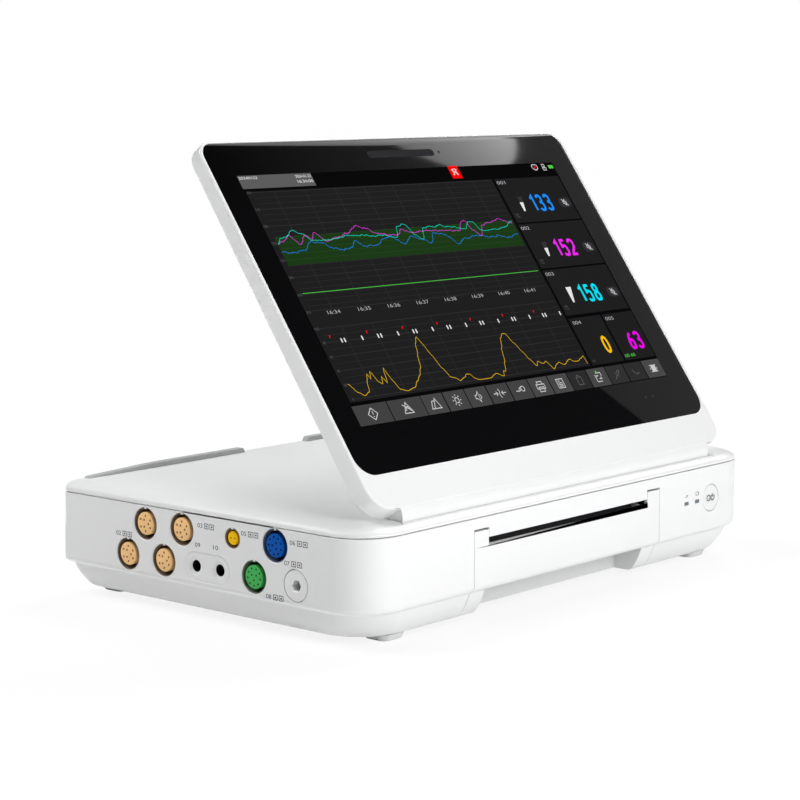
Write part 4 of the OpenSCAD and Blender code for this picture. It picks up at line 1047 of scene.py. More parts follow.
# Middle lines of the big figures in a box of one by one; a True closes the line
FIGURES = {
    "0": [([(0.5, 1.0), (0.16, 0.9), (0, 0.62), (0, 0.38), (0.16, 0.1), (0.5, 0), (0.84, 0.1), (1, 0.38),
            (1, 0.62), (0.84, 0.9)], True)],
    "1": [([(0.12, 0.8), (0.62, 1.0), (0.62, 0.0)], False)],
    "2": [([(0.02, 0.8), (0.12, 0.94), (0.38, 1.0), (0.7, 0.98), (0.97, 0.84), (0.97, 0.64), (0.8, 0.46),
            (0.02, 0.0), (1.0, 0.0)], False)],
    "3": [([(0.02, 0.86), (0.25, 0.99), (0.62, 1.0), (0.94, 0.87), (0.94, 0.66), (0.66, 0.54),
            (0.34, 0.53)], False),
          ([(0.34, 0.53), (0.72, 0.52), (1.0, 0.37), (1.0, 0.15), (0.72, 0.0), (0.25, 0.01),
            (0, 0.13)], False)],
    "5": [([(0.92, 1.0), (0.18, 1.0), (0.1, 0.56), (0.4, 0.63), (0.75, 0.61), (1.0, 0.44), (1.0, 0.18),
            (0.72, 0.0), (0.25, 0.0), (0.0, 0.12)], False)],
    "6": [([(0.82, 0.98), (0.5, 0.9), (0.2, 0.68), (0.02, 0.38), (0.02, 0.18), (0.25, 0.01), (0.72, 0.01),
            (0.98, 0.18), (0.98, 0.4), (0.72, 0.57), (0.34, 0.57), (0.12, 0.42)], False)],
    "8": [([(0.5, 0.54), (0.2, 0.6), (0.07, 0.74), (0.12, 0.9), (0.36, 1.0), (0.64, 1.0), (0.88, 0.9),
            (0.93, 0.74), (0.8, 0.6)], True),
          ([(0.5, 0.54), (0.15, 0.45), (0, 0.3), (0, 0.14), (0.25, 0), (0.75, 0), (1, 0.14), (1, 0.3),
            (0.85, 0.45)], True)],
}


class Layer:
    """One colour of the picture, gathered into one piece."""

    def __init__(self, name, rgb, level):
        self.bm = bmesh.new()
        self.name, self.rgb = name, rgb
        self.n = GLASS_N + sizes().picture_lift / MM * (1 + level)

    def shape(self, points):
        face_of(self.bm, points, self.n)

    def box(self, x0, v0, x1, v1, rounding=0.0):
        patch(self.bm, x0, v0, x1, v1, self.n, rounding)

    def line(self, points, width, closed=False):
        stroke(self.bm, points, width, self.n, closed)

    def digits(self, text, x0, x1, v0, v1):
        figure(self.bm, text, x0, x1, v0, v1, self.n)

    def big(self, text, places, v0, height=13.5, width=6.8, pen=2.0):
        """Large figures drawn with a pen, one at each place from the left."""
        for char, x in zip(text, places):
            for points, closed in FIGURES[char]:
                path = [(x + pen / 2 + (width - pen) * a, v0 + pen / 2 + (height - pen) * b)
                        for a, b in points]
                if char != "1":
                    path = spline(path + path[:1], 3)[:-1] if closed else spline(path, 3)
                self.line(path, pen, closed)

    def disc(self, x, v, r):
        self.shape(arc(x, v, r, [22.5 * k for k in range(16)]))

    def mark(self, shapes, x, v, size, width):
        """Line drawing given as lists of points from -1 to 1."""
        for shape in shapes:
            self.line([(x + size * a, v + size * b) for a, b in shape], width)

    def done(self):
        """Turns the gathered faces into a lit piece that rides on the screen."""
        face_up(self.bm.faces)
        obj = as_object("picture_" + self.name, placed(self.bm))
        obj.data.materials.append(glowing("picture " + self.name, screen_rgb(*self.rgb)))
        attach(obj, "screen")


def trace(points, step, jitter, seed):
    """Dense line through control points with small steps, like a sampled signal."""
    rng = random.Random(seed)
    dense, drift = [], 0.0
    for (xa, va), (xb, vb) in zip(points, points[1:]):
        count = max(1, int((xb - xa) / step))
        for k in range(count):
            t = k / count
            ease = t * t * (3 - 2 * t)
            drift = drift * 0.55 + rng.uniform(-jitter, jitter)
            dense.append((xa + (xb - xa) * t, va + (vb - va) * ease + drift))
    dense.append(points[-1])
    return dense


# Control points of the traces
CYAN = [(-150.6, 125.6), (-146, 129.5), (-141, 130.5), (-133, 134), (-127, 131.5), (-120, 126.5),
        (-112, 125.5), (-100, 126), (-84, 128), (-76, 127), (-60, 126), (-44, 124.6), (-39, 132),
        (-31, 133), (-26, 124.5), (-20, 120.5), (-16, 129), (0, 130), (14, 128), (24, 126), (32, 131),
        (35, 131.5), (40, 124), (52, 124), (64, 125), (75.8, 129)]
MAGENTA = [(-150.6, 125), (-144, 127), (-138, 131), (-132, 124), (-125, 130), (-120, 127),
           (-115, 131.5), (-108, 125), (-98, 127), (-88, 129), (-76, 134), (-68, 132), (-62, 128),
           (-50, 126), (-44, 125), (-36, 129), (-28, 126), (-16, 127), (-4, 126), (18, 125.5),
           (24, 132), (28, 132.5), (32, 125), (38, 120.5), (44, 128), (54, 130), (62, 131.5),
           (75.8, 128)]
BLUE = [(-150.6, 120), (-140, 118.5), (-130, 120), (-122, 125), (-112, 124), (-108, 119.5), (-98, 118),
        (-90, 119), (-84, 123), (-76, 119.5), (-66, 119), (-56, 124), (-50, 125), (-40, 119),
        (-30, 124), (-22, 121), (-14, 118), (-8, 125), (0, 124), (6, 120), (10, 115.5), (18, 118.5),
        (32, 120.5), (44, 119), (54, 119.5), (64, 117.5), (75.8, 119.5)]
YELLOW = [(-150.6, 28.4), (-145, 22), (-141, 19.6), (-136, 21.6), (-133.6, 28.4), (-130.8, 33),
          (-129.6, 29.6), (-127.6, 34.4), (-124, 27), (-121.6, 25.4), (-119.8, 30), (-117.4, 25.6),
          (-114.8, 35.6), (-112.4, 27), (-109, 20), (-103, 18.6), (-96, 20), (-91, 24), (-87, 27),
          (-83, 32), (-79, 42), (-76.4, 49), (-72.8, 53.2), (-70.6, 48), (-67.6, 40), (-64, 30),
          (-60, 23), (-56, 22), (-53.6, 19.8), (-48, 21.6), (-45, 23.6), (-42, 23), (-39, 20),
          (-36, 18.6), (-25, 18.4), (-17.6, 21), (-11, 18.6), (-9.6, 22), (-7.6, 21.6), (-4, 28),
          (0, 38), (4, 45), (7.6, 47.8), (10, 47.6), (14, 40), (18, 33), (21, 27), (25, 22), (27.6, 25),
          (32, 23), (36, 24), (38, 21), (40, 18), (45, 21), (48, 22), (52, 20), (60.4, 23.2),
          (63, 21.4), (68, 20.8), (72, 22.4), (75.6, 24), (76.4, 18)]

# Line drawings of the marks in a box from -1 to 1
DIAMOND = [[(0, 1), (1, 0), (0, -1), (-1, 0), (0, 1)], [(0, 0.45), (0, -0.1)], [(0, -0.35), (0, -0.5)]]
BELL = [[(-1, -0.8), (0, 1), (1, -0.8), (-1, -0.8)], [(-0.45, -0.4), (-0.2, 0.25), (0.2, 0.25), (0.45, -0.4)],
        [(-0.9, 0.7), (0.9, -0.6)]]
PEAKS = [[(-0.5, -0.8), (0.3, 0.9), (1.1, -0.8), (-0.5, -0.8)], [(-1.1, -0.8), (-0.5, 0.5), (0, 0.5)],
         [(-1.1, -0.8), (-0.5, -0.8)]]
RAYS = [arc(0, 0, 0.45, [22.5 * k for k in range(17)])] + [
    arc(0, 0, 0.7, [a]) + arc(0, 0, 1.0, [a]) for a in range(0, 360, 45)]
HORN = [[(-0.7, 0.3), (-0.3, 0.3), (0.2, 0.9), (0.2, -0.9), (-0.3, -0.3), (-0.7, -0.3), (-0.7, 0.3)],
        [(0.5, 0.4), (0.68, 0), (0.5, -0.4)]]
ARROWS = [[(-1.5, 0), (-0.5, 0)], [(-0.85, 0.35), (-0.5, 0), (-0.85, -0.35)], [(1.5, 0), (0.5, 0)],
          [(0.85, 0.35), (0.5, 0), (0.85, -0.35)], [(-0.1, 0.8), (0.1, 0.3), (-0.1, -0.2), (0.1, -0.8)]]
PROBE = [arc(0.6, 0.15, 0.45, range(0, 361, 30)),
         [(0.2, 0.1), (-0.4, -0.2), (-1.2, -0.1)], [(-0.4, 0.1), (0.1, 0.5)]]
PRINTER = [[(-1, -0.4), (-1, 0.4), (1, 0.4), (1, -0.4), (-1, -0.4)],
           [(-0.6, 0.4), (-0.6, 0.9), (0.6, 0.9), (0.6, 0.4)],
           [(-0.6, -0.1), (-0.6, -0.9), (0.6, -0.9), (0.6, -0.1), (-0.6, -0.1)]]
SHEET = [[(-0.8, -0.8), (-0.8, 0.8), (0.8, 0.8), (0.8, -0.8), (-0.8, -0.8)], [(-0.5, 0.45), (0.0, 0.45)],
         [(-0.5, 0.1), (0.5, 0.1)], [(-0.5, -0.2), (0.5, -0.2)], [(-0.5, -0.5), (0.5, -0.5)]]
CAN = [[(-0.6, -0.8), (-0.6, 0.6), (0.6, 0.6), (0.6, -0.8), (-0.6, -0.8)], [(-0.3, 0.9), (0.3, 0.9)]]
FRAME_MARK = [[(-0.8, -0.8), (-0.8, 0.5)], [(-0.4, 0.8), (0.8, 0.8), (0.8, 0.1)], [(-0.8, -0.8), (0.5, -0.8)],
              [(0, -0.3), (0.7, -0.3), (0.4, 0)], [(0, 0.3), (-0.6, 0.3), (-0.3, 0.05)]]
PIN = [[(-0.9, -0.9), (-0.1, -0.1)], [(-0.5, 0.3), (0.3, -0.5)],
       [(-0.1, 0.2), (0.5, 0.7), (0.8, 0.4), (0.2, -0.1)]]
HANDSET = [[(-0.8, 0.4), (-0.5, -0.1), (0.1, -0.6), (0.7, -0.3), (0.8, -0.5)]]
PANEL_MARK = [[(-0.9, 0.6), (0.9, 0.6)], [(-0.9, -0.6), (0.9, -0.6)], [(-0.9, 0.2), (-0.9, -0.2)],
              [(0.9, 0.2), (0.9, -0.2)]]
BOX_MARK = [[(-1, -0.8), (1, 0.8)], [(-1, 0.8), (1, -0.8)],
            [(-0.6, -0.9), (-0.6, 0.9), (0.6, 0.9), (0.6, -0.9)]]
LID_MARK = [[(-1, -0.25), (-1, 0.45), (-0.6, 0.75), (0.6, 0.75), (1, 0.45), (1, -0.25), (0.3, -0.75),
             (-0.3, -0.75), (-1, -0.25)]]
PLUG_MARK = [[(-0.5, 0.1), (-0.5, 0.9), (0.5, 0.9), (0.5, 0.1), (-0.5, 0.1)],
             [(-0.6, -0.9), (-0.75, -0.2), (0.75, -0.2), (0.6, -0.9), (-0.6, -0.9)]]

# Tool buttons: left and right edge, grey level and mark
TOOLBAR = [(-156.8, -126.8, 66, DIAMOND), (-126, -96, 66, BELL), (-95.4, -76, 70, PEAKS),
           (-75, -55.2, 70, RAYS), (-54.4, -34.4, 70, HORN), (-33.4, -13.4, 66, ARROWS),
           (-12.4, 7.6, 68, PROBE), (8.4, 28.2, 72, PRINTER), (29.2, 48.8, 72, SHEET),
           (49.6, 69.6, 44, CAN), (70.6, 90.4, 72, FRAME_MARK), (91.2, 111, 50, PIN),
           (112, 132, 46, HANDSET), (133, 153, 74, PANEL_MARK)]


# Picture: edges of the ground and of the charts, top lines of the two charts, first time line and the
# step to the next
PICTURE_X0 = -156.5
PICTURE_TOP = LCD_H
CHART_X0 = -150.6
CHART_X1 = 76.4
CHART_TOP = 162
LOWER_TOP = 66.4
TIME_X0 = -132.2
TIME_STEP = 27.05


class MONITOR_OT_picture(bpy.types.Operator):
    """Lit picture: status bar, trace charts, figure tiles and tool buttons"""

    bl_idname = "monitor.picture"
    bl_label = "Screen Picture"

    def execute(self, context):
        self.grounds()
        self.chart_lines()
        self.lettering()
        self.traces()
        self.small_marks()
        self.figures()
        self.buttons()
        return {"FINISHED"}

    def boxes(self, name, rgb, level, *places):
        """A layer of plain rectangles."""
        layer = Layer(name, rgb, level)
        for place in places:
            layer.box(*place)
        layer.done()

    def grounds(self):
        self.boxes("ground", (6, 6, 7), 0, (PICTURE_X0, 0.0, 153.3, PICTURE_TOP))
        self.boxes("panels", (31, 31, 32), 1, (-155.6, 16.4, 78.4, 162.8), (80.8, 127.6, 151.8, 162.8),
                   (80.8, 91.4, 151.8, 126.4), (80.8, 54.6, 151.8, 90.0), (80.8, 16.2, 116.2, 52.2),
                   (118.2, 16.2, 152.2, 52.2))

    def chart_lines(self):
        rows = [(CHART_TOP - 4 * k if k < 21 else 78.6, k % 3) for k in range(22)]
        rows += [(LOWER_TOP - 4.8 * k, k % 2) for k in range(11)]
        lines = [(CHART_X0, v - (0.12 if thin else 0.22), CHART_X1, v + (0.12 if thin else 0.22))
                 for v, thin in rows]
        for k in range(8):
            x = TIME_X0 + TIME_STEP * k
            lines += [(x - 0.2, 78.6, x + 0.2, CHART_TOP), (x - 0.2, 18.4, x + 0.2, LOWER_TOP)]
        self.boxes("grid", (48, 48, 49), 2, *lines)
        self.boxes("band", (27, 58, 22), 3, (CHART_X0, 110.2, CHART_X1, 130.0))
        self.boxes("faint_grid", (44, 74, 38), 4, *[(CHART_X0, v - 0.12, CHART_X1, v + 0.12)
                                                    for v in range(114, 131, 4)])

    def lettering(self):
        labels = Layer("labels", (82, 82, 84), 4)
        for k in range(8):
            v = CHART_TOP - 12 * k
            labels.digits(str(240 - 30 * k), -155.2, -151.4, v - 0.9, v + 0.9)
        for k, x0 in enumerate((-155.2, -153.9, -153.9, -153.9, -153.9, -152.6)):
            v = LOWER_TOP - 9.6 * k
            labels.digits(str(100 - 20 * k), x0, -151.4, v - 0.9, v + 0.9)
        for v in (131.4, 95.0, 58.8):
            labels.digits("160", 83.4, 87.2, v + 2.0, v + 3.5)
            labels.digits("110", 83.4, 87.2, v, v + 1.5)
        labels.digits("10", 83.0, 85.8, 18.4, 20.2)
        labels.done()
        captions = Layer("captions", (172, 172, 174), 4)
        for k in range(8):
            x = TIME_X0 + TIME_STEP * k
            captions.digits("16:%02d" % (34 + k), x - 5.6, x + 5.6, 75.2, 77.7)
        for k, (x, v) in enumerate(((81.8, 158.4), (81.8, 121.9), (81.8, 85.5), (83.2, 47.3), (119.8, 47.3))):
            captions.digits("%03d" % (k + 1), x, x + 8.8, v, v + 2.6)
        captions.done()

    def traces(self):
        for name, points, rgb, seed, jitter in (("blue_trace", BLUE, (30, 128, 214), 3, 0.62),
                                                ("magenta_trace", MAGENTA, (206, 58, 206), 5, 0.55),
                                                ("cyan_trace", CYAN, (26, 204, 182), 7, 0.5),
                                                ("yellow_trace", YELLOW, (228, 182, 18), 9, 0.12)):
            layer = Layer(name, rgb, 5 + seed // 3)
            layer.line(trace(points, 0.8, jitter, seed), sizes().trace_width / MM)
            layer.done()

    def small_marks(self):
        green = Layer("green_line", (84, 206, 74), 5)
        green.line([(CHART_X0, 90.7), (76, 90.2)], 0.42)
        green.digits("00 60", 119.6, 131.0, 18.3, 20.7)
        green.disc(80.0, 11.2, 0.9)
        green.box(146.6, 169.2, 152.0, 171.9, 0.5)
        green.done()
        red = Layer("red_marks", (252, 2, 4), 5)
        for k in range(7):
            x = -145.8 + 32.55 * k
            red.line([(x - 0.3, 59.8), (x + 0.3, 61.5)], 0.8)
        red.disc(131.2, 170.6, 1.0)
        red.box(39.4, 164.8, 49.4, 174.6)
        red.done()
        pale = Layer("pale_marks", (236, 236, 236), 6)
        for k in range(8):
            for x in (-137.6 + 32.45 * k, -134.8 + 32.45 * k, -119.4 + 32.45 * k):
                if x < 77:
                    pale.box(x - 0.55, 55.6, x + 0.55, 58.6, 0.4)
        for high, low, x0, x1 in ((143.4, 136.4, 94.7, 98.5), (106.8, 100.4, 94.9, 98.7),
                                  (75.6, 63.8, 95.0, 100.8)):
            pale.shape([(x0 + 0.2, low), (x0 + 1.8, low), (x1, high), (x0, high)])
        pale.mark(BOX_MARK, 44.4, 169.8, 2.6, 0.5)
        pale.digits("2024-01-22", -107.4, -93.6, 171.0, 173.0)
        pale.digits("16:34:00", -107.4, -93.6, 167.3, 169.4)
        pale.digits("20240122", -156.2, -140.4, 171.4, 173.2)
        pale.done()
        wedge = Layer("wedge_tops", (50, 50, 52), 4)
        mute = Layer("mute_marks", (206, 206, 208), 6)
        for v in (143.8, 107.3):
            wedge.shape([(94.7, v), (98.8, v), (100.2, v + 4.2), (95.0, v + 4.2)])
        for v in (141.2, 104.8, 68.4):
            wedge.box(137.4, v - 3.8, 149.8, v + 3.8, 3.2)
            mute.mark(HORN, 143.6, v, 2.7, 0.55)
            mute.line([(141.2, v + 2.6), (146.4, v - 2.6)], 0.7)
        wedge.done()
        mute.mark(LID_MARK, 131.2, 170.6, 2.9, 0.7)
        mute.mark(PLUG_MARK, 141.2, 170.4, 2.6, 0.6)
        mute.done()

    def figures(self):
        three = (106.2, 113.6, 122.2)
        for name, text, rgb, places, v0 in (("blue_figure", "133", (28, 144, 252), three, 135.4),
                                            ("magenta_figure", "152", (250, 40, 250), three, 99.1),
                                            ("cyan_figure", "158", (0, 234, 252), three, 62.8),
                                            ("yellow_figure", "0", (255, 200, 0), (102.8,), 23.2),
                                            ("pink_figure", "63", (255, 0, 252), (131.6, 139.8), 23.2)):
            layer = Layer(name, rgb, 5)
            layer.big(text, places, v0)
            layer.done()

    def buttons(self):
        self.boxes("status_block", (94, 94, 95), 1, (PICTURE_X0, 164.8, -92.6, PICTURE_TOP))
        shades = {}
        for x0, x1, grey, _ in TOOLBAR:
            shades.setdefault(grey, []).append((max(x0, PICTURE_X0), 0.6, x1, 14.0))
        for grey, places in shades.items():
            self.boxes("buttons_%d" % grey, (grey, grey, grey + 1), 1, *places)
        bright = Layer("button_marks", (205, 205, 206), 3)
        dim = Layer("dull_marks", (92, 92, 94), 3)
        for x0, x1, grey, drawing in TOOLBAR:
            (dim if grey < 52 else bright).mark(drawing, (x0 + x1) / 2, 7.3, 4.0, 0.62)
        bright.box(140.6, 4.9, 145.6, 9.6, 0.4)
        bright.done()
        dim.done()


# ----------------------------------------------------- marks, sockets, inner
# Plain numbers of the side sockets: distance of the left edge from the front and height
SIDE_NUMBERS = {"03": (134.8, 57.4), "02": (207.2, 43.8), "09": (137.0, 45.3), "10": (121.6, 45.6),
                "05": (98.0, 57.2), "06": (58.4, 56.8), "07": (63.0, 44.3), "08": (78.0, 22.6)}


class MONITOR_OT_marks(bpy.types.Operator):
    """Plain printed marks on the button, above the two lamps and beside the side sockets"""

    bl_idname = "monitor.marks"
    bl_label = "Printed Marks"

    def execute(self, context):
        grey = dull("mark ink", (0.075, 0.085, 0.09))
        bm = bmesh.new()
        x, z = LAMPS[0]
        stroke(bm, [(x - 1.9, z + 4.4), (x - 0.4, z + 4.4), (x + 1.4, z + 5.9)], 0.42, 0)
        stroke(bm, [(x - 0.6, z + 6.2), (x + 0.7, z + 4.6)], 0.42, 0)
        x, z = LAMPS[1]
        cell = [(x - 1.9, z + 4.3), (x + 1.2, z + 4.3), (x + 1.2, z + 6.2), (x - 1.9, z + 6.2)]
        stroke(bm, cell, 0.42, 0, closed=True)
        patch(bm, x + 1.35, z + 4.8, x + 1.9, z + 5.7, 0)
        finish_piece(as_object("lamp_marks", at_front(bm, PRINT_LIFT)), "base", grey)
        bm = bmesh.new()
        x, z = BUTTON
        stroke(bm, arc(x - 2.6, z, 1.9, range(0, 360, 20)), 0.62, 0, closed=True)
        stroke(bm, arc(x + 2.4, z, 1.9, range(125, 416, 15)), 0.62, 0)
        stroke(bm, [(x + 2.4, z + 0.4), (x + 2.4, z + 2.6)], 0.62, 0)
        button = as_object("button_mark", at_front(bm, PRINT_LIFT))
        button.data.transform(Matrix.Translation((0, 0.0001, 0)))
        finish_piece(button, "button", grey)
        bm = bmesh.new()
        for text, (y, z) in SIDE_NUMBERS.items():
            figure(bm, text, -y, 4.2 - y, z, z + 2.7, 0)
            if text not in ("09", "10"):
                for k in (0, 1):
                    x = 6.0 + 4.6 * k - y
                    frame_line = [(x, z), (x + 3.2, z), (x + 3.2, z + 2.9), (x, z + 2.9)]
                    stroke(bm, frame_line, 0.45, 0, closed=True)
                    patch(bm, x + 1.0, z + 0.9, x + 2.2, z + 2.0, 0)
        side = at_side(bm, 0, 0, PRINT_LIFT)
        finish_piece(as_object("side_numbers", side), "base", grey)
        return {"FINISHED"}


# Pin holes as rings: distance in radii, number, first angle, hole radius
NINE_PINS = ((0.35, 3, 0, 0.72), (0.67, 6, 30, 0.72))
TWELVE_PINS = ((0.29, 3, 60, 0.66), (0.73, 9, 20, 0.66))
TWELVE_PINS_TURNED = ((0.29, 3, 30, 0.66), (0.73, 9, 30, 0.66))
TWO_PINS = ((0.39, 2, 0, 0.55),)


class MONITOR_OT_sockets(bpy.types.Operator):
    """Finishes of the side sockets, their coloured inserts, the hose port and the jack plate"""

    bl_idname = "monitor.sockets"
    bl_label = "Side Sockets"

    def execute(self, context):
        tone = colours()
        # The dark wall colours are partly the walls' own colour and partly painted shade of the socket
        # hollows.
        for k in range(1, 5):
            self.socket("fetal_%d" % k, "brown wall", (0.17, 0.135, 0.105), "orange insert", tone.fetal,
                        NINE_PINS)
        self.socket("spo2", "blue wall", (0.10, 0.115, 0.18), "blue insert", tone.oxygen, TWELVE_PINS)
        self.socket("ecg", "green wall", (0.13, 0.175, 0.12), "green insert", tone.heart, TWELVE_PINS_TURNED)
        self.socket("temp", "yellow wall", (0.20, 0.125, 0.06), "yellow insert", tone.temperature, TWO_PINS,
                    4.2, 0.9)
        self.hose_port()
        self.jacks()
        return {"FINISHED"}

    def socket(self, place, wall, wall_shade_rgb, finish, rgb, pins, r=7.1, drop=0.4):
        """Wall and insert of one socket, whose solids share its name."""
        kind, _, number = place.partition("_")
        end = "_" + number if number else ""
        self.ring(kind + "_socket" + end, place, wall, wall_shade_rgb)
        self.insert(kind + "_insert" + end, place, finish, rgb, pins, r, drop)

    def ring(self, node_name, place, finish, rgb):
        """Socket wall with a thin rim just behind the case's side; its dark colour is partly the wall's own
        and partly painted shade of the hollow.
        """
        y, z, r = SOCKETS[place]
        profile = [(0, -SOCKET_DEPTH), (r - 0.03, -SOCKET_DEPTH), (r - 0.03, -0.6), (r - 0.35, -0.6),
                   (r - 0.7, -1.0), (r - 0.8, -SOCKET_FLOOR), (0, -SOCKET_FLOOR)]
        piece = as_object(node_name + "_wall", at_side(turned(profile, 64), y, z))
        finish_piece(piece, "base", dull(finish, rgb), (node_name,))

    def insert(self, node_name, place, finish, rgb, rings, r, drop):
        """Coloured plug with its pin holes, its face almost level with the case's side; dark plugs just under
        the face are painted shade in the holes.
        """
        y, z, _ = SOCKETS[place]
        profile = [(0, -SOCKET_FLOOR - 0.1), (r, -SOCKET_FLOOR - 0.1), (r, -drop - 0.4),
                   (r - 0.12, -drop - 0.14), (r - 0.4, -drop), (0, -drop)]
        piece = as_object(node_name + "_face", at_side(turned(profile, 64), y, z))
        holes, painted_shade_plugs = [], []
        for distance, count, first, width in rings:
            for i in range(count):
                a = math.radians(first + 360 * i / count)
                move = Vector((distance * r * math.cos(a), distance * r * math.sin(a), 0))
                for group, w, low, high in ((holes, width, 4, -1), (painted_shade_plugs, width - 0.01, 3.9, 0.35)):
                    plug = turned([(0, -drop - low), (w, -drop - low), (w, -drop - high),
                                   (0, -drop - high)], 16)
                    bmesh.ops.translate(plug, vec=move, verts=plug.verts)
                    group.append(at_side(plug, y, z))
        combine(piece, merged(*holes))
        finish_piece(piece, "base", dull(finish, rgb), (node_name,))
        # Painted shade: the plugs fill each pin hole to just under the face, in a darkened copy of the
        # insert's colour.
        ends = as_object(node_name + "_shaded_holes", merged(*painted_shade_plugs))
        finish_piece(ends, "base", dull(finish + " wells", tuple(0.11 * c * c for c in rgb)))

    def hose_port(self):
        y, z, r = SOCKETS["hose"]
        profile = [(0, -SOCKET_DEPTH), (r - 0.5, -SOCKET_DEPTH), (r - 0.5, -0.4), (r - 0.58, -0.2),
                   (r - 0.75, -0.1), (0, -0.1)]
        piece = as_object("hose_port", at_side(turned(profile, 96), y, z))
        turn = Matrix.Rotation(math.radians(30), 3, "Z")
        for mouth, depth, middle in ((4.9, 1.4, -0.1), (3.5, 8, -4.5)):
            tool = bmesh.new()
            bmesh.ops.create_cone(tool, cap_ends=True, segments=6, radius1=3.5, radius2=mouth, depth=depth)
            bmesh.ops.translate(tool, vec=(0, 0, middle), verts=tool.verts)
            bmesh.ops.rotate(tool, cent=(0, 0, 0), matrix=turn, verts=tool.verts)
            combine(piece, at_side(tool, y, z))
        finish_piece(piece, "base", shell_white(), ("pressure_port",))
        valve = turned([(0, -6.5), (3.4, -6.5), (3.4, -5.2), (1.2, -4.4), (0, -4.4)])
        plug = as_object("hose_valve", at_side(valve, y, z))
        finish_piece(plug, "base", plastic("valve grey", (0.22, 0.225, 0.23), 0.4))

    def jacks(self):
        dress(shell_white(), 0.00025, "jack_plate")
        cups = []
        for s in (-1, 1):
            cup = turned([(0, -9), (3.57, -9), (3.57, -1.5), (3.2, -1.7), (3.2, -8), (0, -8)])
            cups.append(at_side(cup, JACKS[0] + s * JACK_APART, JACKS[1]))
        sleeves = as_object("jack_sleeves", merged(*cups))
        finish_piece(sleeves, "base", dull("jack black", (0.012, 0.012, 0.013)))


class MONITOR_OT_small_parts(bpy.types.Operator):
    """Finishes of the button, lamp windows, feet, rear panel, connectors, recorder and inner parts"""

    bl_idname = "monitor.small_parts"
    bl_label = "Small and Inner Parts"

    def execute(self, context):
        self.feet()
        edge = sizes().edge_round
        dress(plastic("button plastic", (0.82, 0.825, 0.825), 0.36, tone=0.04), 0.0002, "power_button")
        dress(plastic("lamp lens", (0.10, 0.14, 0.18), 0.18, 0.3, tone=0.3), None, "indicator_windows")
        dress(shell_white(), edge, "battery_cover")
        dress(plastic("back shell", colours().bezel, 0.42, tone=0.04), edge, "screen_back")
        dress(metal("plated steel", (0.62, 0.63, 0.64)), 0.0002, "network_socket", "usb_sockets",
              "battery_screws", "case_screws", "roller_shaft", "hinge_brackets", "hinge_screws",
              "hinge_shafts", "printer_frame")
        dress(metal("folded sheet steel", (0.55, 0.56, 0.57), 0.38), edge, "power_supply")
        dress(metal("anodised head", (0.30, 0.31, 0.32), 0.4), 0.0002, "print_head")
        brass = metal("turned brass", (0.72, 0.52, 0.20), 0.24)
        dress(brass, 0.0002, "ground_terminal")
        dress(brass, 0.0001, "roller_bushes")
        dress(speckled("powder coat", (0.62, 0.63, 0.635), (0.70, 0.71, 0.715), 1800.0, 0.5, 0.55), 0.0002,
              "rear_panel")
        dress(plastic("black moulding", (0.02, 0.02, 0.021), 0.45, tone=0.3), 0.0002, "mains_inlet",
              "button_switch", "paper_motor", "speaker")
        dress(speckled("solder mask", (0.015, 0.14, 0.06), (0.10, 0.26, 0.10), 420.0, 0.55, 0.35, 0.1), None,
              "connector_board", "front_board", "main_board", "screen_board")
        dress(plastic("battery sleeve", (0.03, 0.09, 0.34), 0.3, 0.2), 0.0004, "battery_pack")
        dress(speckled("pump casting", (0.33, 0.34, 0.35), (0.45, 0.46, 0.47)), edge, "pressure_pump")
        dress(plastic("gear plastic", (0.78, 0.74, 0.60), 0.4), 0.00008, "roller_gear", "motor_pinion")
        dress(plastic("rail plastic", (0.42, 0.43, 0.43), 0.4), 0.0002, "drawer_rails")
        dress(speckled("platen rubber", (0.018, 0.018, 0.02), (0.03, 0.03, 0.032), 2200.0), edge,
              "platen_roller")
        dress(speckled("chart paper", (0.86, 0.84, 0.78), (0.80, 0.77, 0.70), 1400.0, 0.5, 0.85), None,
              "paper_pack")
        dress(plastic("panel film", (0.02, 0.02, 0.022), 0.25, tone=0.3), 0.0002, "lcd_panel")
        return {"FINISHED"}

    def feet(self):
        """Tapered pads in place of the four feet."""
        rubber = speckled("foot rubber", (0.76, 0.765, 0.765), (0.68, 0.685, 0.685), 1500.0, 0.5, 0.72)
        for name in ("foot_front_left", "foot_front_right", "foot_rear_left", "foot_rear_right"):
            low, high = (Vector(v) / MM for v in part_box(name))
            mid, half = (low + high) / 2, (high - low) / 2
            rings = []
            for z, inset in ((0.0, 2.2), (0.15, 1.7), (0.6, 1.3), (high.z - 0.02, 0.0)):
                x, y, r = half.x - inset, half.y - inset, 5.0 - inset / 2
                rings.append([(mid.x + a, mid.y + b, z) for a, b in rounded(-x, -y, x, y, r, r, 8)])
            finish_piece(as_object(name + "_pad", loft(rings)), "base", rubber, (name,))


# Disc lamps: place, point they face, diameter in metres and power in watts
DISC_LAMPS = {
    "corner_lamp": ((-0.38, -1.0, 0.5), (-0.05, -0.12, 0.05), 0.5, 1.9),
    "front_lamp": ((0.1, -1.3, 0.35), (0.0, -0.12, 0.05), 0.7, 4.5),
    "high_lamp": ((-0.25, -1.2, 0.95), (0.0, -0.12, 0.05), 0.7, 5.8),
    "rear_lamp": ((-0.9, 1.2, 1.8), (0.0, 0.0, 0.05), 1.2, 33.0),
    "right_lamp": ((1.6, 0.3, 1.8), (0.0, 0.0, 0.05), 1.2, 31.0),
}

# Camera: place in metres, direction, roll in degrees and focal length for a 36 mm sensor
CAMERA_PLACE = (-1.12454, -0.96663, 0.31763)
CAMERA_VIEW = (0.74530, 0.65260, -0.13620)
CAMERA_ROLL = -0.15
CAMERA_LENS = 102.66


def blended(tree, share, first, second, at, surface):
    """Mixes two shaders by a share and feeds the mix to a surface."""
    blend = node(tree, "ShaderNodeMixShader", at)
    for value, slot in ((share, blend.inputs[0]), (first, blend.inputs[1]), (second, blend.inputs[2]),
                        (blend.outputs[0], surface)):
        tree.links.new(value, slot)


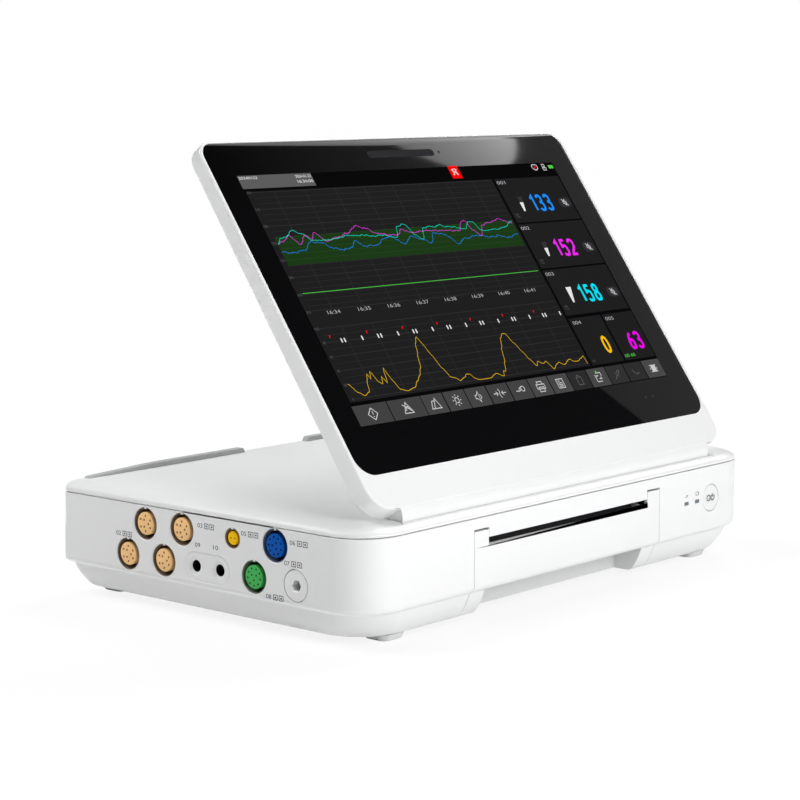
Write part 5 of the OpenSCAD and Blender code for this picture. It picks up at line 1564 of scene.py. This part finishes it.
class MONITOR_OT_stage(bpy.types.Operator):
    """Pale floor and backdrop, soft lamps and the camera at the photographed angle"""

    bl_idname = "monitor.stage"
    bl_label = "Stage"

    def execute(self, context):
        scene = context.scene
        bm = bmesh.new()
        bmesh.ops.create_grid(bm, x_segments=1, y_segments=1, size=sizes().floor_size)
        mesh = bpy.data.meshes.new("floor_sheet")
        bm.to_mesh(mesh)
        bm.free()
        floor = bpy.data.objects.new("floor_sheet", mesh)
        scene.collection.objects.link(floor)
        mesh.materials.append(self.floor_material())
        self.world(scene)
        self.lamps(scene)
        self.camera(scene)
        scene.view_settings.view_transform = "Standard"
        return {"FINISHED"}

    def floor_material(self):
        """Floor that takes shadows and looks near white to the camera and in reflections."""
        mat, tree, shader = new_material("pale floor")
        for key, value in (("Base Color", tint(colours().room)), ("Roughness", 0.9),
                           ("Specular IOR Level", 0.0)):
            shader.inputs[key].default_value = value
        glow = node(tree, "ShaderNodeEmission", (0, -200))
        glow.inputs["Color"].default_value = WHITE
        path = node(tree, "ShaderNodeLightPath", (-400, 200)).outputs
        seen = math_node(tree, "MAXIMUM", path["Is Camera Ray"], path["Is Glossy Ray"], (-200, 250))
        reach = node(tree, "ShaderNodeVectorMath", (-700, 500), operation="LENGTH")
        tree.links.new(object_coord(tree, (-900, 500)), reach.inputs[0])
        far = between(tree, reach.outputs["Value"], 0.3, 1.4, (-500, 500))
        level = scaled(tree, far, 0.135, 0.86, (-350, 500))
        share = math_node(tree, "MULTIPLY", seen, level, (0, 250))
        blended(tree, share, shader.outputs[0], glow.outputs[0], (250, 0),
                tree.nodes["Material Output"].inputs["Surface"])
        return mat

    def world(self, scene):
        """White to the camera, and a faint fill that grows towards the right."""
        scene.world = scene.world or bpy.data.worlds.new("Room")
        scene.world.use_nodes = True
        tree = scene.world.node_tree
        tree.nodes.clear()
        out = node(tree, "ShaderNodeOutputWorld", (600, 0))
        fill = node(tree, "ShaderNodeBackground", (0, 100))
        seen = node(tree, "ShaderNodeBackground", (0, -100))
        for ground in (fill, seen):
            ground.inputs["Color"].default_value = WHITE
        seen.inputs["Strength"].default_value = 1.0
        side = node(tree, "ShaderNodeSeparateXYZ", (-700, 0))
        tree.links.new(node(tree, "ShaderNodeTexCoord", (-900, 0)).outputs["Generated"], side.inputs[0])
        level = math_node(tree, "ADD", side.outputs["X"], 1.0, (-500, 0))
        tree.links.new(math_node(tree, "MULTIPLY", level, 0.04, (-300, 0)), fill.inputs["Strength"])
        path = node(tree, "ShaderNodeLightPath", (-300, 300)).outputs
        blended(tree, path["Is Camera Ray"], fill.outputs[0], seen.outputs[0], (300, 0),
                out.inputs["Surface"])

    def lamps(self, scene):
        for name, (place, aim, size, power) in DISC_LAMPS.items():
            data = bpy.data.lights.new(name, "AREA")
            data.shape = "DISK"
            data.size = size
            data.energy = power
            lamp = bpy.data.objects.new(name, data)
            lamp.location = place
            lamp.rotation_euler = (Vector(aim) - Vector(place)).to_track_quat("-Z", "Y").to_euler()
            scene.collection.objects.link(lamp)

    def camera(self, scene):
        data = bpy.data.cameras.new("photo_camera")
        data.sensor_width = 36.0
        data.lens = CAMERA_LENS
        data.clip_start = 0.05
        data.clip_end = 60.0
        camera = bpy.data.objects.new("photo_camera", data)
        scene.collection.objects.link(camera)
        camera.rotation_mode = "QUATERNION"
        turn = Vector(CAMERA_VIEW).normalized().to_track_quat("-Z", "Y").to_matrix().to_4x4()
        roll = Matrix.Rotation(math.radians(CAMERA_ROLL), 4, "Z")
        camera.matrix_world = Matrix.Translation(CAMERA_PLACE) @ turn @ roll
        scene.camera = camera


class MONITOR_PT_panel(bpy.types.Panel):
    bl_label = "Fetal Monitor"
    bl_idname = "MONITOR_PT_panel"
    bl_space_type = "VIEW_3D"
    bl_region_type = "UI"
    bl_category = "Monitor"

    def draw(self, context):
        column = self.layout.column(align=True)
        for kind in OPERATORS:
            column.operator(kind.bl_idname)
        for group in (context.scene.monitor_sizes, context.scene.monitor_colours):
            box = self.layout.box()
            for key in group.__annotations__:
                box.prop(group, key)


OPERATORS = (MONITOR_OT_case, MONITOR_OT_cover, MONITOR_OT_drawer, MONITOR_OT_screen_frame,
             MONITOR_OT_glass, MONITOR_OT_picture, MONITOR_OT_marks, MONITOR_OT_sockets,
             MONITOR_OT_small_parts, MONITOR_OT_stage)
CLASSES = (MonitorSizes, MonitorColours) + OPERATORS + (MONITOR_PT_panel,)


def register():
    for kind in CLASSES:
        bpy.utils.register_class(kind)
    bpy.types.Scene.monitor_sizes = bpy.props.PointerProperty(type=MonitorSizes)
    bpy.types.Scene.monitor_colours = bpy.props.PointerProperty(type=MonitorColours)


def unregister():
    del bpy.types.Scene.monitor_sizes
    del bpy.types.Scene.monitor_colours
    for kind in reversed(CLASSES):
        bpy.utils.unregister_class(kind)


def main():
    """Builds every piece and the stage."""
    register()
    bpy.ops.monitor.case()
    bpy.ops.monitor.cover()
    bpy.ops.monitor.drawer()
    bpy.ops.monitor.screen_frame()
    bpy.ops.monitor.glass()
    bpy.ops.monitor.picture()
    bpy.ops.monitor.marks()
    bpy.ops.monitor.sockets()
    bpy.ops.monitor.small_parts()
    bpy.ops.monitor.stage()


if __name__ == "__main__":
    main()
